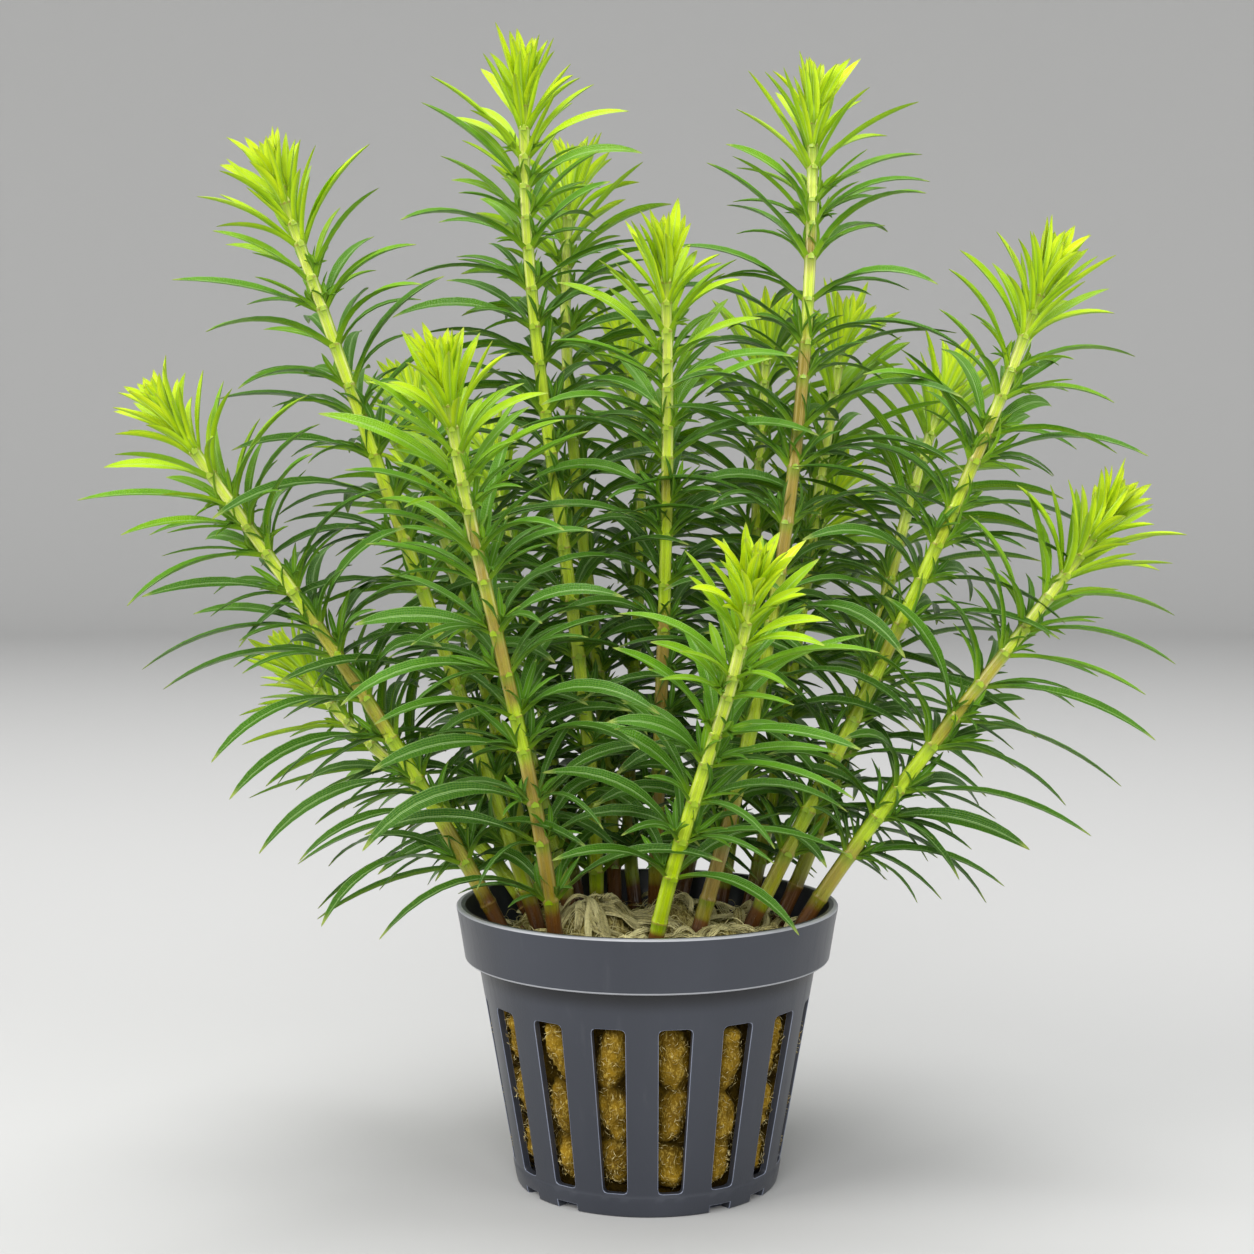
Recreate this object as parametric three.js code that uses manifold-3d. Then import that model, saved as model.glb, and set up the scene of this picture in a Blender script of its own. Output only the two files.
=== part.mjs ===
// A potted pogostemon deccanensis: leafy stems rooted in a rock wool plug in a slotted net pot.
// Millimetres, +Z up. The origin is the centre of the pot's flat underside, and the front faces -Y.
import * as THREE from "three";
import { mergeVertices } from "three/addons/utils/BufferGeometryUtils.js";
import Module from "manifold-3d";

const wasm = await Module();
wasm.setup();

// The net pot. Its rim is the usual 50 mm, and the rest follows from that.
const RIM_RADIUS = 25;
const RIM_LIP_RADIUS = 24.1;
const BAND_BOTTOM_RADIUS = 23.9;
const BAND_BOTTOM = 30;
const POT_HEIGHT = 36.5;
const BODY_TOP_RADIUS = 22.3;
const FOOT_RADIUS = 17.1;
const WALL = 0.9;
const POT_FACETS = 32;
const POT_TURN = THREE.MathUtils.degToRad(9.55);

// Openings of the pot: tall slots, notches under some of them, and slots in the floor.
const SLOTS = 16;
const SLOT_BOTTOM = 3.1;
const SLOT_TOP = 24.6;
const SLOT_BOTTOM_WIDTH = 3.1;
const SLOT_TOP_WIDTH = 4.3;
const NOTCH_WIDTH = 2.6;
const NOTCH_HEIGHT = 1.0;
const NOTCH_DEPTH = 1.6;
const FLOOR_SLOTS = 8;
const FLOOR_SLOT_WIDTH = 2.4;
const FLOOR_SLOT_START = 6;
const FLOOR_SLOT_END = 13;

// The rock wool plug: lumps that bulge into the slots, and a rough top below the rim.
const GAP = 0.3;
const PLUG_TOP = 32.3;
const LUMP_ROWS = [WALL + GAP, 5.9, 9.2, 12.3, 16.2, 20.2, 25.2, 29.0];
const LUMP_BULGE = 0.5;
const LUMP_HOLLOW = 1.6;
const LUMP_VARIETY = 0.6;
const COLLAR_ROWS = 2;
const COLLAR_SHARE = 0.3;
const TOP_RINGS = [0.94, 0.62, 0.34];
const TOP_ROUGHNESS = 0.8;
const TUFTS = [
  { x: -6.8, y: 1.5, height: 4.3, reach: 5.5 },
  { x: 10, y: -8, height: 2.2, reach: 4.5 },
  { x: 4, y: 5, height: 3, reach: 4.5 },
  { x: -3, y: -14, height: 1.4, reach: 4 },
  { x: 3, y: 14, height: 2.2, reach: 4 },
  { x: 14, y: 5, height: 2, reach: 4 },
  { x: -14, y: 7, height: 1.8, reach: 4 },
];

// The stems. Each stands on the plug at its foot, follows a curve that two points bend, and ends
// at its growing tip.
const STEMS = [
  { foot: [-13.5, 2], low: [-24, 0, 64], high: [-36.5, -4, 98], tip: [-46.3, -8, 129] },
  { foot: [-17.5, -1], low: [-30, -3.5, 56.5], high: [-47.5, -7.5, 81], tip: [-59.4, -11.8, 99.4] },
  { foot: [-7, 13], low: [-6, 10.5, 67.5], high: [-18, 6.5, 108.5], tip: [-15.8, 2, 143] },
  { foot: [-4.5, 16.5], low: [-4.5, 18, 66], high: [-14.5, 20.5, 103.5], tip: [-10.6, 24, 134] },
  { foot: [-11.5, -6], low: [-13.5, -11.5, 57], high: [-21, -20.5, 79], tip: [-23.3, -29.5, 102.8] },
  { foot: [1, 14.5], low: [1.5, 10.5, 60], high: [3.5, 3, 91.5], tip: [2.2, -4.8, 119.5] },
  { foot: [5.5, -4], low: [17, -2, 65.5], high: [22, 1, 105], tip: [21.5, 4, 141] },
  { foot: [12, 1], low: [22.5, -0.5, 52], high: [42, -3, 89.5], tip: [50.3, -6, 117.7] },
  { foot: [18, -1], low: [28.5, -3.5, 49], high: [47.5, -7.5, 71], tip: [57, -11.8, 87] },
  { foot: [0.5, -9.5], low: [3, -15, 48], high: [11, -24, 65], tip: [12, -33.3, 79.5] },
  { foot: [13, 13], low: [18.5, 18, 46], high: [23.5, 23, 89], tip: [28, 26.7, 113] },
  { foot: [16.5, 7], low: [31, 10.5, 58], high: [32.5, 18.5, 82], tip: [43, 26.5, 106] },
  { foot: [-14, 7.5], low: [-21, 11, 45], high: [-36, 17, 50], tip: [-50, 21.5, 66.5] },
  { foot: [9.6, 15.4], low: [15.5, 20, 60], high: [15, 29, 88.5], tip: [18, 38.5, 114.5] },
  { foot: [-9.5, 7.5], low: [-17, 13, 62], high: [-27, 20, 86], tip: [-33.5, 27.7, 104] },
  { foot: [-1.2, 18.2], low: [-6, 24, 56.5], high: [3.5, 30, 83.5], tip: [-3.8, 36.7, 111.5] },
  { foot: [-14, 11.5], low: [-19.5, 12.5, 55], high: [-25.5, 13.5, 75.5], tip: [-31, 14, 95.5] },
  { foot: [-9, 15.8], low: [-14, 26, 56], high: [-20, 36, 80], tip: [-23.8, 45.5, 97] },
  { foot: [4, 17.8], low: [9, 26, 54], high: [21, 37, 75], tip: [28.6, 45.6, 91] },
];
const FOOT_DEPTH = 2.6;
const SOCKET_LENGTH = 9;
const SOCKET_EASE = 0.33;
const FOOT_STEM_RADIUS = 1.08;
const TIP_STEM_RADIUS = 0.72;
const SQUARE_CORNER = 1.25;
const COLLAR_HEIGHT = 1.5;
const BUD_LENGTH = 5;

// Nodes of a stem, counted from the tip: crowded in the crown and further and further apart below
// it. A whorl of leaves grows at every second one.
const NODE_SPACING = 4.6;
const CROWDING = 3.6;
const CROWDING_NODES = 5;
const STRETCHING = 0.08;
const NODE_SPREAD = 0.17;
const FIRST_WHORL = 1;
const WHORL_STEP = 2;
const LOWEST_LEAF = 41;

// Leaves by distance from the tip: each of these grows from its young value to its old one.
const LEAF_LENGTH = { old: 22, young: 6.5, over: 14 };
const LEAF_WIDTH = { old: 2.4, young: 1.4, over: 16 };
const LEAF_TILT = { old: 44, young: 4, over: 7 };
const LEAF_TURN = { old: 84, young: 10, over: 30 };
const LEAF_SAG = { old: 2, young: 0, over: 20 };
const LEAF_THICKNESS = 0.5;

// A leaf that starts lower than this share of upright bends less, the lower it starts.
const UPRIGHT_SHARE = 0.72;
const LEVELLING = 0.55;

// The two kinds of whorl take turns along a stem. An azimuth of 0 is the front, and share is of
// the full length at that node.
const SQUARE_WHORL = {
  turn: 0,
  leaves: [
    { azimuth: 90, share: 1 },
    { azimuth: 270, share: 1 },
    { azimuth: 180, share: 0.9 },
  ],
  front: { azimuth: 0, share: 0.8 },
};
const DIAGONAL_WHORL = {
  turn: 45,
  leaves: [
    { azimuth: 58, share: 1 },
    { azimuth: 302, share: 1 },
    { azimuth: 145, share: 0.95 },
    { azimuth: 215, share: 0.95 },
  ],
};
const CROWN_LENGTH = 4;

// No two leaves are quite alike: the most that each varies, either way.
const AZIMUTH_SPREAD = 15;
const TILT_SPREAD = 9;
const TURN_SPREAD = 20;
const LENGTH_SPREAD = 0.18;

// A leaf that would touch another stem grows another way: turned, raised or shorter.
const LEAF_CLEARANCE = 0.45;
const WAYS_TO_GROW = [
  { turned: 0, raised: 0, share: 1 },
  { turned: 14, raised: 0, share: 1 },
  { turned: -14, raised: 0, share: 1 },
  { turned: 0, raised: 14, share: 1 },
  { turned: 0, raised: -12, share: 0.9 },
  { turned: 26, raised: 8, share: 0.9 },
  { turned: -26, raised: 8, share: 0.9 },
  { turned: 0, raised: 0, share: 0.72 },
  { turned: 20, raised: 0, share: 0.6 },
  { turned: -20, raised: 0, share: 0.6 },
  { turned: 0, raised: 10, share: 0.5 },
];
const POT_CLEARANCE_RADIUS = RIM_RADIUS + 1.5;
const POT_CLEARANCE_HEIGHT = POT_HEIGHT + 1;
const STALK_LINES = 24;

const FRONT = new THREE.Vector3(0, -1, 0);
const UP = new THREE.Vector3(0, 0, 1);
const radians = THREE.MathUtils.degToRad;

const plastic = new THREE.MeshStandardMaterial({ color: 0x4b5058, roughness: 0.5, metalness: 0 });
const rockWool = new THREE.MeshStandardMaterial({ color: 0xa8873d, roughness: 0.95, metalness: 0 });
const greenery = new THREE.MeshStandardMaterial({ color: 0x5c8f24, roughness: 0.45, metalness: 0 });

// A repeatable number from 0 to 1 for a stem, a node, an azimuth and a use.
function chance(stem, node, azimuth, use) {
  const wave = Math.sin(stem * 12.9898 + node * 78.233 + azimuth * 0.618 + use * 37.719) * 43758.5453;
  return wave - Math.floor(wave);
}

function spread(stem, node, azimuth, use, most) {
  return (chance(stem, node, azimuth, use) * 2 - 1) * most;
}

// A closed mesh as a solid: shared vertices merged, and triangles with no area dropped.
function solidOf(geometry) {
  const bare = geometry.clone();
  bare.deleteAttribute("normal");
  bare.deleteAttribute("uv");
  const merged = mergeVertices(bare, 1e-4);
  const corners = merged.index.array;
  const kept = [];
  for (let i = 0; i < corners.length; i += 3) {
    const [a, b, c] = [corners[i], corners[i + 1], corners[i + 2]];
    if (a !== b && b !== c && c !== a) {
      kept.push(a, b, c);
    }
  }
  return new wasm.Manifold(
    new wasm.Mesh({
      numProp: 3,
      vertProperties: merged.getAttribute("position").array,
      triVerts: new Uint32Array(kept),
    }),
  );
}

function geometryOf(solid) {
  const mesh = solid.getMesh();
  const geometry = new THREE.BufferGeometry();
  geometry.setAttribute("position", new THREE.BufferAttribute(mesh.vertProperties, 3));
  geometry.setIndex(new THREE.BufferAttribute(mesh.triVerts, 1));
  geometry.computeVertexNormals();
  return geometry;
}

function geometryFrom(points, triangles) {
  const geometry = new THREE.BufferGeometry();
  geometry.setFromPoints(points);
  geometry.setIndex(triangles.flat());
  geometry.computeVertexNormals();
  return geometry;
}

function named(name, geometry, material) {
  const mesh = new THREE.Mesh(geometry, material);
  mesh.name = name;
  return mesh;
}

// The inner face of the pot's wall.
function innerRadius(z) {
  const rise = (z - WALL) / (BAND_BOTTOM - WALL);
  return THREE.MathUtils.lerp(FOOT_RADIUS - WALL, BODY_TOP_RADIUS - WALL, rise);
}

// The pot turns once round its axis, then its openings are cut.
function netPot() {
  const profile = [
    [0, 0],
    [FOOT_RADIUS, 0],
    [BODY_TOP_RADIUS, BAND_BOTTOM],
    [BAND_BOTTOM_RADIUS, BAND_BOTTOM],
    [RIM_RADIUS, POT_HEIGHT - 0.4],
    [RIM_RADIUS - 0.3, POT_HEIGHT],
    [RIM_LIP_RADIUS, POT_HEIGHT],
    [BAND_BOTTOM_RADIUS - WALL, BAND_BOTTOM + WALL],
    [innerRadius(BAND_BOTTOM), BAND_BOTTOM],
    [innerRadius(WALL), WALL],
    [0, WALL],
  ].map(([r, z]) => new THREE.Vector2(r, z));
  const halfFacet = Math.PI / POT_FACETS;
  const turned = new THREE.LatheGeometry(profile, POT_FACETS, -halfFacet);
  turned.rotateX(Math.PI / 2);
  let pot = solidOf(turned);
  for (let i = 0; i < SLOTS; i += 1) {
    const angle = (i * 2 * Math.PI) / SLOTS;
    pot = pot.subtract(solidOf(wallSlot().rotateZ(angle)));
    if (i % 4 === 1 || i % 4 === 2) {
      pot = pot.subtract(solidOf(footNotch().rotateZ(angle)));
    }
  }
  for (let i = 0; i < FLOOR_SLOTS; i += 1) {
    const angle = ((i + 0.5) * 2 * Math.PI) / FLOOR_SLOTS;
    pot = pot.subtract(solidOf(floorSlot().rotateZ(angle)));
  }
  return geometryOf(pot).rotateZ(POT_TURN);
}

// A cutter for the slot at the front: a little wider at the top, like the wall round it.
function wallSlot() {
  const outline = new THREE.Shape();
  outline.moveTo(-SLOT_BOTTOM_WIDTH / 2, SLOT_BOTTOM);
  outline.lineTo(SLOT_BOTTOM_WIDTH / 2, SLOT_BOTTOM);
  outline.lineTo(SLOT_TOP_WIDTH / 2, SLOT_TOP);
  outline.lineTo(-SLOT_TOP_WIDTH / 2, SLOT_TOP);
  const depth = RIM_RADIUS - FLOOR_SLOT_END;
  const cutter = new THREE.ExtrudeGeometry(outline, { depth, bevelEnabled: false });
  cutter.translate(0, 0, FLOOR_SLOT_END);
  return cutter.rotateX(Math.PI / 2);
}

function footNotch() {
  const cutter = new THREE.BoxGeometry(NOTCH_WIDTH, NOTCH_DEPTH * 2, NOTCH_HEIGHT * 2);
  return cutter.translate(0, -FOOT_RADIUS, 0);
}

function floorSlot() {
  const length = FLOOR_SLOT_END - FLOOR_SLOT_START;
  const cutter = new THREE.BoxGeometry(FLOOR_SLOT_WIDTH, length, WALL * 4);
  return cutter.translate(0, -(FLOOR_SLOT_START + FLOOR_SLOT_END) / 2, 0);
}

// The top of the plug: rough, and drawn up where wool stands in tufts.
function plugTopHeight(x, y, column) {
  let height = PLUG_TOP + spread(column, 1, 0, 1, TOP_ROUGHNESS);
  for (const tuft of TUFTS) {
    const away = Math.hypot(x - tuft.x, y - tuft.y) / tuft.reach;
    height += tuft.height * Math.max(0, 1 - away ** 2);
  }
  return height;
}

// Rings of lumps up the side, one column to a slot, then a few rings and a middle on the top.
function plugBody() {
  const points = [];
  const triangles = [];
  const columns = SLOTS * 2;
  const lastRow = LUMP_ROWS.length - 1;
  const around = (column) => (column * 2 * Math.PI) / columns + POT_TURN;
  for (const [row, z] of LUMP_ROWS.entries()) {
    const atEnd = row === 0 || row === lastRow;
    const inCollar = row > lastRow - COLLAR_ROWS;
    for (let column = 0; column < columns; column += 1) {
      const bulging = column % 2 === 0 && row % 2 === 1 && !inCollar;
      const height = atEnd ? z : z + spread(column, row, 0, 3, LUMP_VARIETY);
      const hollow = LUMP_HOLLOW + spread(column, row, 0, 2, LUMP_VARIETY);
      const share = inCollar ? COLLAR_SHARE : 1;
      const reach = innerRadius(height) - GAP + (bulging ? LUMP_BULGE : -hollow * share);
      const angle = around(column);
      points.push(new THREE.Vector3(Math.sin(angle) * reach, -Math.cos(angle) * reach, height));
    }
  }
  for (const share of TOP_RINGS) {
    for (let column = 0; column < columns; column += 1) {
      const reach = (innerRadius(BAND_BOTTOM) - GAP) * share;
      const x = Math.sin(around(column)) * reach;
      const y = -Math.cos(around(column)) * reach;
      points.push(new THREE.Vector3(x, y, plugTopHeight(x, y, column + share)));
    }
  }
  const rings = LUMP_ROWS.length + TOP_RINGS.length;
  for (let ring = 0; ring < rings - 1; ring += 1) {
    for (let column = 0; column < columns; column += 1) {
      const next = (column + 1) % columns;
      const a = ring * columns + column;
      const b = ring * columns + next;
      triangles.push([a, b, b + columns], [a, b + columns, a + columns]);
    }
  }
  const top = points.length;
  points.push(new THREE.Vector3(0, 0, plugTopHeight(0, 0, 0)));
  const bottom = points.length;
  points.push(new THREE.Vector3(0, 0, LUMP_ROWS[0]));
  for (let column = 0; column < columns; column += 1) {
    const next = (column + 1) % columns;
    const ring = (rings - 1) * columns;
    triangles.push([ring + column, ring + next, top], [next, column, bottom]);
  }
  return geometryFrom(points, triangles);
}

// A value of a leaf that grows with its distance from the tip.
function grown(value, distance) {
  return value.old - (value.old - value.young) * Math.exp(-distance / value.over);
}

function nodeDistance(stem, node) {
  const ratio = Math.exp(-1 / CROWDING_NODES);
  const count = node + spread(stem, node, 0, 24, NODE_SPREAD);
  const crowded = (CROWDING * (1 - ratio ** count)) / (1 - ratio);
  return NODE_SPACING * count - crowded + STRETCHING * count ** 2;
}

function stemCurve({ foot, low, high, tip }) {
  const start = new THREE.Vector3(foot[0], foot[1], PLUG_TOP - FOOT_DEPTH);
  const bends = [low, high, tip].map((point) => new THREE.Vector3(...point));
  return new THREE.CubicBezierCurve3(start, ...bends);
}

// A place on a stem at a distance from its tip, with its axis, its front and its right side.
function placeOn(curve, distance) {
  const along = 1 - Math.min(distance / curve.getLength(), 1);
  const axis = curve.getTangentAt(along);
  const front = FRONT.clone().addScaledVector(axis, -FRONT.dot(axis)).normalize();
  const side = new THREE.Vector3().crossVectors(axis, front);
  const radius = THREE.MathUtils.lerp(FOOT_STEM_RADIUS, TIP_STEM_RADIUS, along);
  return { point: curve.getPointAt(along), axis, front, side, radius };
}

function outwardAt(place, azimuth) {
  const angle = radians(azimuth);
  const outward = place.front.clone().multiplyScalar(Math.cos(angle));
  return outward.addScaledVector(place.side, Math.sin(angle));
}

// A leaf leaves the stem at a tilt from its axis and bends away from it along an arc.
function growLeaf(stem, node, place, distance, leaf, way) {
  const vary = (use, most) => spread(stem, node, leaf.azimuth, use, most);
  const azimuth = leaf.azimuth + vary(1, AZIMUTH_SPREAD) + way.turned;
  const tilt = radians(grown(LEAF_TILT, distance) + vary(2, TILT_SPREAD) - way.raised);
  const outward = outwardAt(place, azimuth);
  const upright = place.axis.z * Math.cos(tilt) + outward.z * Math.sin(tilt);
  const levelled = 1 - LEVELLING * Math.max(0, UPRIGHT_SHARE - upright);
  const turn = radians(grown(LEAF_TURN, distance) + vary(3, TURN_SPREAD)) * levelled;
  const share = leaf.share * way.share * (1 + vary(4, LENGTH_SPREAD));
  const length = grown(LEAF_LENGTH, distance) * share;
  const start = place.point.clone().addScaledVector(outward, place.radius);
  const sag = grown(LEAF_SAG, distance) * share;
  const pointAt = (t) => {
    const rise = (Math.sin(tilt + turn * t) - Math.sin(tilt)) / turn;
    const reach = (Math.cos(tilt) - Math.cos(tilt + turn * t)) / turn;
    const point = start.clone().addScaledVector(place.axis, rise * length);
    return point.addScaledVector(outward, reach * length).addScaledVector(UP, -sag * t * t);
  };
  const middle = pointAt(0.5);
  const tip = pointAt(1);
  const width = grown(LEAF_WIDTH, distance) * Math.sqrt(leaf.share);
  return { stem, node, start, middle, tip, width };
}

// A leaf as two straight lines with a half width, and a stem as lines between its nodes.
function linesOf({ stem, node, start, middle, tip, width }) {
  const halfWidth = width / 2;
  return [
    { stem, node, line: new THREE.Line3(start, middle), from: halfWidth, to: halfWidth },
    { stem, node, line: new THREE.Line3(middle, tip), from: halfWidth, to: 0 },
  ];
}

function touches(a, b) {
  const onA = new THREE.Vector3();
  const onB = new THREE.Vector3();
  const apart = Math.sqrt(a.line.distanceSqToLine3(b.line, onA, onB));
  const reachOf = ({ line, from, to }, point) => {
    const share = line.start.distanceTo(point) / Math.max(line.distance(), 1e-6);
    return THREE.MathUtils.lerp(from, to, share);
  };
  return apart < reachOf(a, onA) + reachOf(b, onB) + LEAF_CLEARANCE;
}

function hitsPot({ middle, tip }) {
  const inside = (point) =>
    Math.hypot(point.x, point.y) < POT_CLEARANCE_RADIUS && point.z < POT_CLEARANCE_HEIGHT;
  return inside(middle) || inside(tip);
}

// Tries each way to grow a leaf until one is clear of what stands there already.
function clearLeaf(stem, node, place, distance, leaf, standing) {
  for (const way of WAYS_TO_GROW) {
    const grownLeaf = growLeaf(stem, node, place, distance, leaf, way);
    const lines = linesOf(grownLeaf);
    const near = (other) => other.stem !== stem || Math.abs(other.node - node) > 1;
    const blocked = standing.some(
      (other) => near(other) && !(other.isStalk && other.stem === stem) &&
        lines.some((line) => touches(line, other)),
    );
    if (!blocked && !hitsPot(grownLeaf)) {
      standing.push(...lines);
      return grownLeaf;
    }
  }
  return null;
}

// The whorls of a stem from its tip down, each with its place on the stem.
function whorlsOf(stem, curve) {
  const whorls = [];
  for (let node = FIRST_WHORL; ; node += WHORL_STEP) {
    const distance = nodeDistance(stem, node);
    const place = placeOn(curve, distance);
    if (distance > curve.getLength() || place.point.z < LOWEST_LEAF) {
      return whorls;
    }
    const kind = node % 4 === 1 ? SQUARE_WHORL : DIAGONAL_WHORL;
    whorls.push({ node, distance, place, kind });
  }
}

function stalkLines(stem, curve) {
  const points = curve.getSpacedPoints(STALK_LINES);
  return points.slice(1).map((point, i) => ({
    stem,
    node: -1,
    isStalk: true,
    line: new THREE.Line3(points[i], point),
    from: FOOT_STEM_RADIUS * SQUARE_CORNER,
    to: FOOT_STEM_RADIUS * SQUARE_CORNER,
  }));
}

// A ring of four corners round a stem. Its first side faces the turn given.
function cornersAt(place, along, turn, radius) {
  return [0, 1, 2, 3].map((corner) => {
    const outward = outwardAt(place, turn - 45 + corner * 90);
    const point = place.point.clone().addScaledVector(outward, radius * SQUARE_CORNER);
    return point.addScaledVector(place.axis, along);
  });
}

// Builds a stem as one closed skin: rings up the stalk, a leaf where a side of a collar opens.
class Skin {
  constructor() {
    this.points = [];
    this.triangles = [];
  }

  add(...points) {
    const first = this.points.length;
    this.points.push(...points);
    return points.map((point, i) => first + i);
  }

  quad(a, b, c, d) {
    this.triangles.push([a, b, c], [a, c, d]);
  }

  side(lower, upper, corner) {
    const next = (corner + 1) % 4;
    this.quad(lower[corner], lower[next], upper[next], upper[corner]);
  }

  sleeve(lower, upper) {
    for (let corner = 0; corner < 4; corner += 1) {
      this.side(lower, upper, corner);
    }
  }

  leaf(lower, upper, corner, { start, middle, tip, width }) {
    const next = (corner + 1) % 4;
    const [bottomLeft, bottomRight] = [lower[corner], lower[next]];
    const [topLeft, topRight] = [upper[corner], upper[next]];
    const forward = tip.clone().sub(start).normalize();
    const across = this.points[bottomRight].clone().sub(this.points[bottomLeft]);
    across.addScaledVector(forward, -across.dot(forward)).normalize();
    const above = new THREE.Vector3().crossVectors(forward, across);
    const [left, right, keel, end] = this.add(
      middle.clone().addScaledVector(across, -width / 2),
      middle.clone().addScaledVector(across, width / 2),
      middle.clone().addScaledVector(above, -LEAF_THICKNESS),
      tip,
    );
    this.quad(topRight, topLeft, left, right);
    this.quad(topLeft, bottomLeft, keel, left);
    this.quad(bottomRight, topRight, right, keel);
    this.triangles.push([bottomLeft, bottomRight, keel]);
    this.triangles.push([right, left, end], [left, keel, end], [keel, right, end]);
  }
}

// The straight foot of a stem, from its end in the plug to its lowest whorl.
function footOf(curve, whorls) {
  const place = placeOn(curve, curve.getLength());
  const lowest = whorls.at(-1);
  const direction = lowest.place.point.clone().sub(place.point).normalize();
  return { ...place, direction, turn: lowest.kind.turn };
}

function stemGeometry(curve, whorls) {
  const skin = new Skin();
  const foot = footOf(curve, whorls);
  let below = skin.add(...cornersAt(foot, 0, foot.turn, foot.radius));
  skin.quad(below[0], below[3], below[2], below[1]);
  for (const { place, kind, leaves } of whorls.toReversed()) {
    const lower = skin.add(...cornersAt(place, -COLLAR_HEIGHT / 2, kind.turn, place.radius));
    const upper = skin.add(...cornersAt(place, COLLAR_HEIGHT / 2, kind.turn, place.radius));
    skin.sleeve(below, lower);
    for (let corner = 0; corner < 4; corner += 1) {
      const leaf = leaves.find((one) => one.corner === corner);
      if (leaf) {
        skin.leaf(lower, upper, corner, leaf);
      } else {
        skin.side(lower, upper, corner);
      }
    }
    below = upper;
  }
  const top = whorls[0].place;
  const budReach = whorls[0].distance + BUD_LENGTH;
  const [bud] = skin.add(top.point.clone().addScaledVector(top.axis, budReach));
  for (let corner = 0; corner < 4; corner += 1) {
    skin.triangles.push([below[corner], below[(corner + 1) % 4], bud]);
  }
  return geometryFrom(skin.points, skin.triangles);
}

// The hole that a stem's foot stands in, a gap wider all round.
function socketOf(curve, whorls) {
  const foot = footOf(curve, whorls);
  const radius = foot.radius + SOCKET_EASE;
  const skin = new Skin();
  const straight = { ...foot, axis: foot.direction };
  const lower = skin.add(...cornersAt(straight, -GAP, foot.turn, radius));
  const upper = skin.add(...cornersAt(straight, SOCKET_LENGTH, foot.turn, radius));
  skin.quad(lower[0], lower[3], lower[2], lower[1]);
  skin.sleeve(lower, upper);
  skin.quad(upper[0], upper[1], upper[2], upper[3]);
  return geometryFrom(skin.points, skin.triangles);
}

// All the stems first as bare stalks, then their whorls one stem after another.
const plants = STEMS.map((stem, index) => {
  const curve = stemCurve(stem);
  const name = `stem_${String(index + 1).padStart(2, "0")}`;
  return { name, index, curve, whorls: whorlsOf(index, curve) };
});
const standing = plants.flatMap(({ index, curve }) => stalkLines(index, curve));
for (const { index, curve, whorls } of plants) {
  for (const whorl of whorls) {
    const { node, distance, place, kind } = whorl;
    const inCrown = kind.front && distance < CROWN_LENGTH;
    const leaves = inCrown ? [...kind.leaves, kind.front] : kind.leaves;
    whorl.leaves = [];
    for (const leaf of leaves) {
      const grownLeaf = clearLeaf(index, node, place, distance, leaf, standing);
      const corner = Math.round((leaf.azimuth - kind.turn) / 90);
      if (grownLeaf) {
        whorl.leaves.push({ ...grownLeaf, corner });
      }
    }
  }
}

let plug = solidOf(plugBody());
for (const { curve, whorls } of plants) {
  plug = plug.subtract(solidOf(socketOf(curve, whorls)));
}

const pottedPlant = new THREE.Group();
pottedPlant.add(named("net_pot", netPot(), plastic));
pottedPlant.add(named("rock_wool", geometryOf(plug), rockWool));
for (const { name, curve, whorls } of plants) {
  pottedPlant.add(named(name, stemGeometry(curve, whorls), greenery));
}

export default pottedPlant;
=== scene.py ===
"""A potted pogostemon deccanensis: leafy stems rooted in rock wool in a slotted net pot.

Lengths are in millimetres, apart from the camera's and the lights', which are in metres. +Z is up,
the pot's axis is x = y = 0, its foot stands on z = 0, and the front faces -Y.
"""
import math
from functools import partial

import bpy
import numpy as np
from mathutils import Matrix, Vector, noise


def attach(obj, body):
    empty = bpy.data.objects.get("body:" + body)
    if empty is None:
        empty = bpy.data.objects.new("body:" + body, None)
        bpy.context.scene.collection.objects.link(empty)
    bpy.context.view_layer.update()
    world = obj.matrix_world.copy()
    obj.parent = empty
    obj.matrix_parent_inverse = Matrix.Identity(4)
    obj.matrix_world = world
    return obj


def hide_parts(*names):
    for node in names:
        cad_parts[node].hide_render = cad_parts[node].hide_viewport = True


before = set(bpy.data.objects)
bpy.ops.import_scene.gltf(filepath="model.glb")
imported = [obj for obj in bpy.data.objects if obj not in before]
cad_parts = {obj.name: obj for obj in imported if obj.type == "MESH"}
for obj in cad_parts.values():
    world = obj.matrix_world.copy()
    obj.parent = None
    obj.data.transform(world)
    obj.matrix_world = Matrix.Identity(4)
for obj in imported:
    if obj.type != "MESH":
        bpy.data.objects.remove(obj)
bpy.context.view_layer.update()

MM = 0.001
FRONT = np.array([0.0, -1.0, 0.0])
UP = np.array([0.0, 0.0, 1.0])

# The net pot
RIM_RADIUS = 25.0
BAND_BOTTOM_RADIUS = 23.9
BAND_BOTTOM = 30.0
POT_HEIGHT = 36.5
BODY_TOP_RADIUS = 22.3
FOOT_RADIUS = 17.1
WALL = 0.9
RIM_WIDTH = 1.2
POT_TURN = math.radians(9.55)
SLOTS = 16
SLOT_BOTTOM = 3.1
SLOT_TOP = 24.6
SLOT_HALF_ANGLE = 5.05
SLOT_WIDENING = 0.14
SLOT_CORNER = 0.6
SLOT_CORNER_STEPS = 4
NOTCH_HEIGHT = 1.0
NOTCH_DEPTH = 1.6
FLOOR_SLOT_START = 6.0
FLOOR_SLOT_END = 13.0
RIM_ROUNDING = 0.3
EDGE_ROUNDING = 0.32
BAND_ROUNDING = 0.35
BAND_CURL = 29.8
# Painted shade under the band: the height from which it is darkest, and how far below that it fades out
UNDER_BAND_SHADE_TOP = 29.2
UNDER_BAND_SHADE_HEIGHT = 3.2
EDGE_ANGLE = math.radians(50.0)
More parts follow.
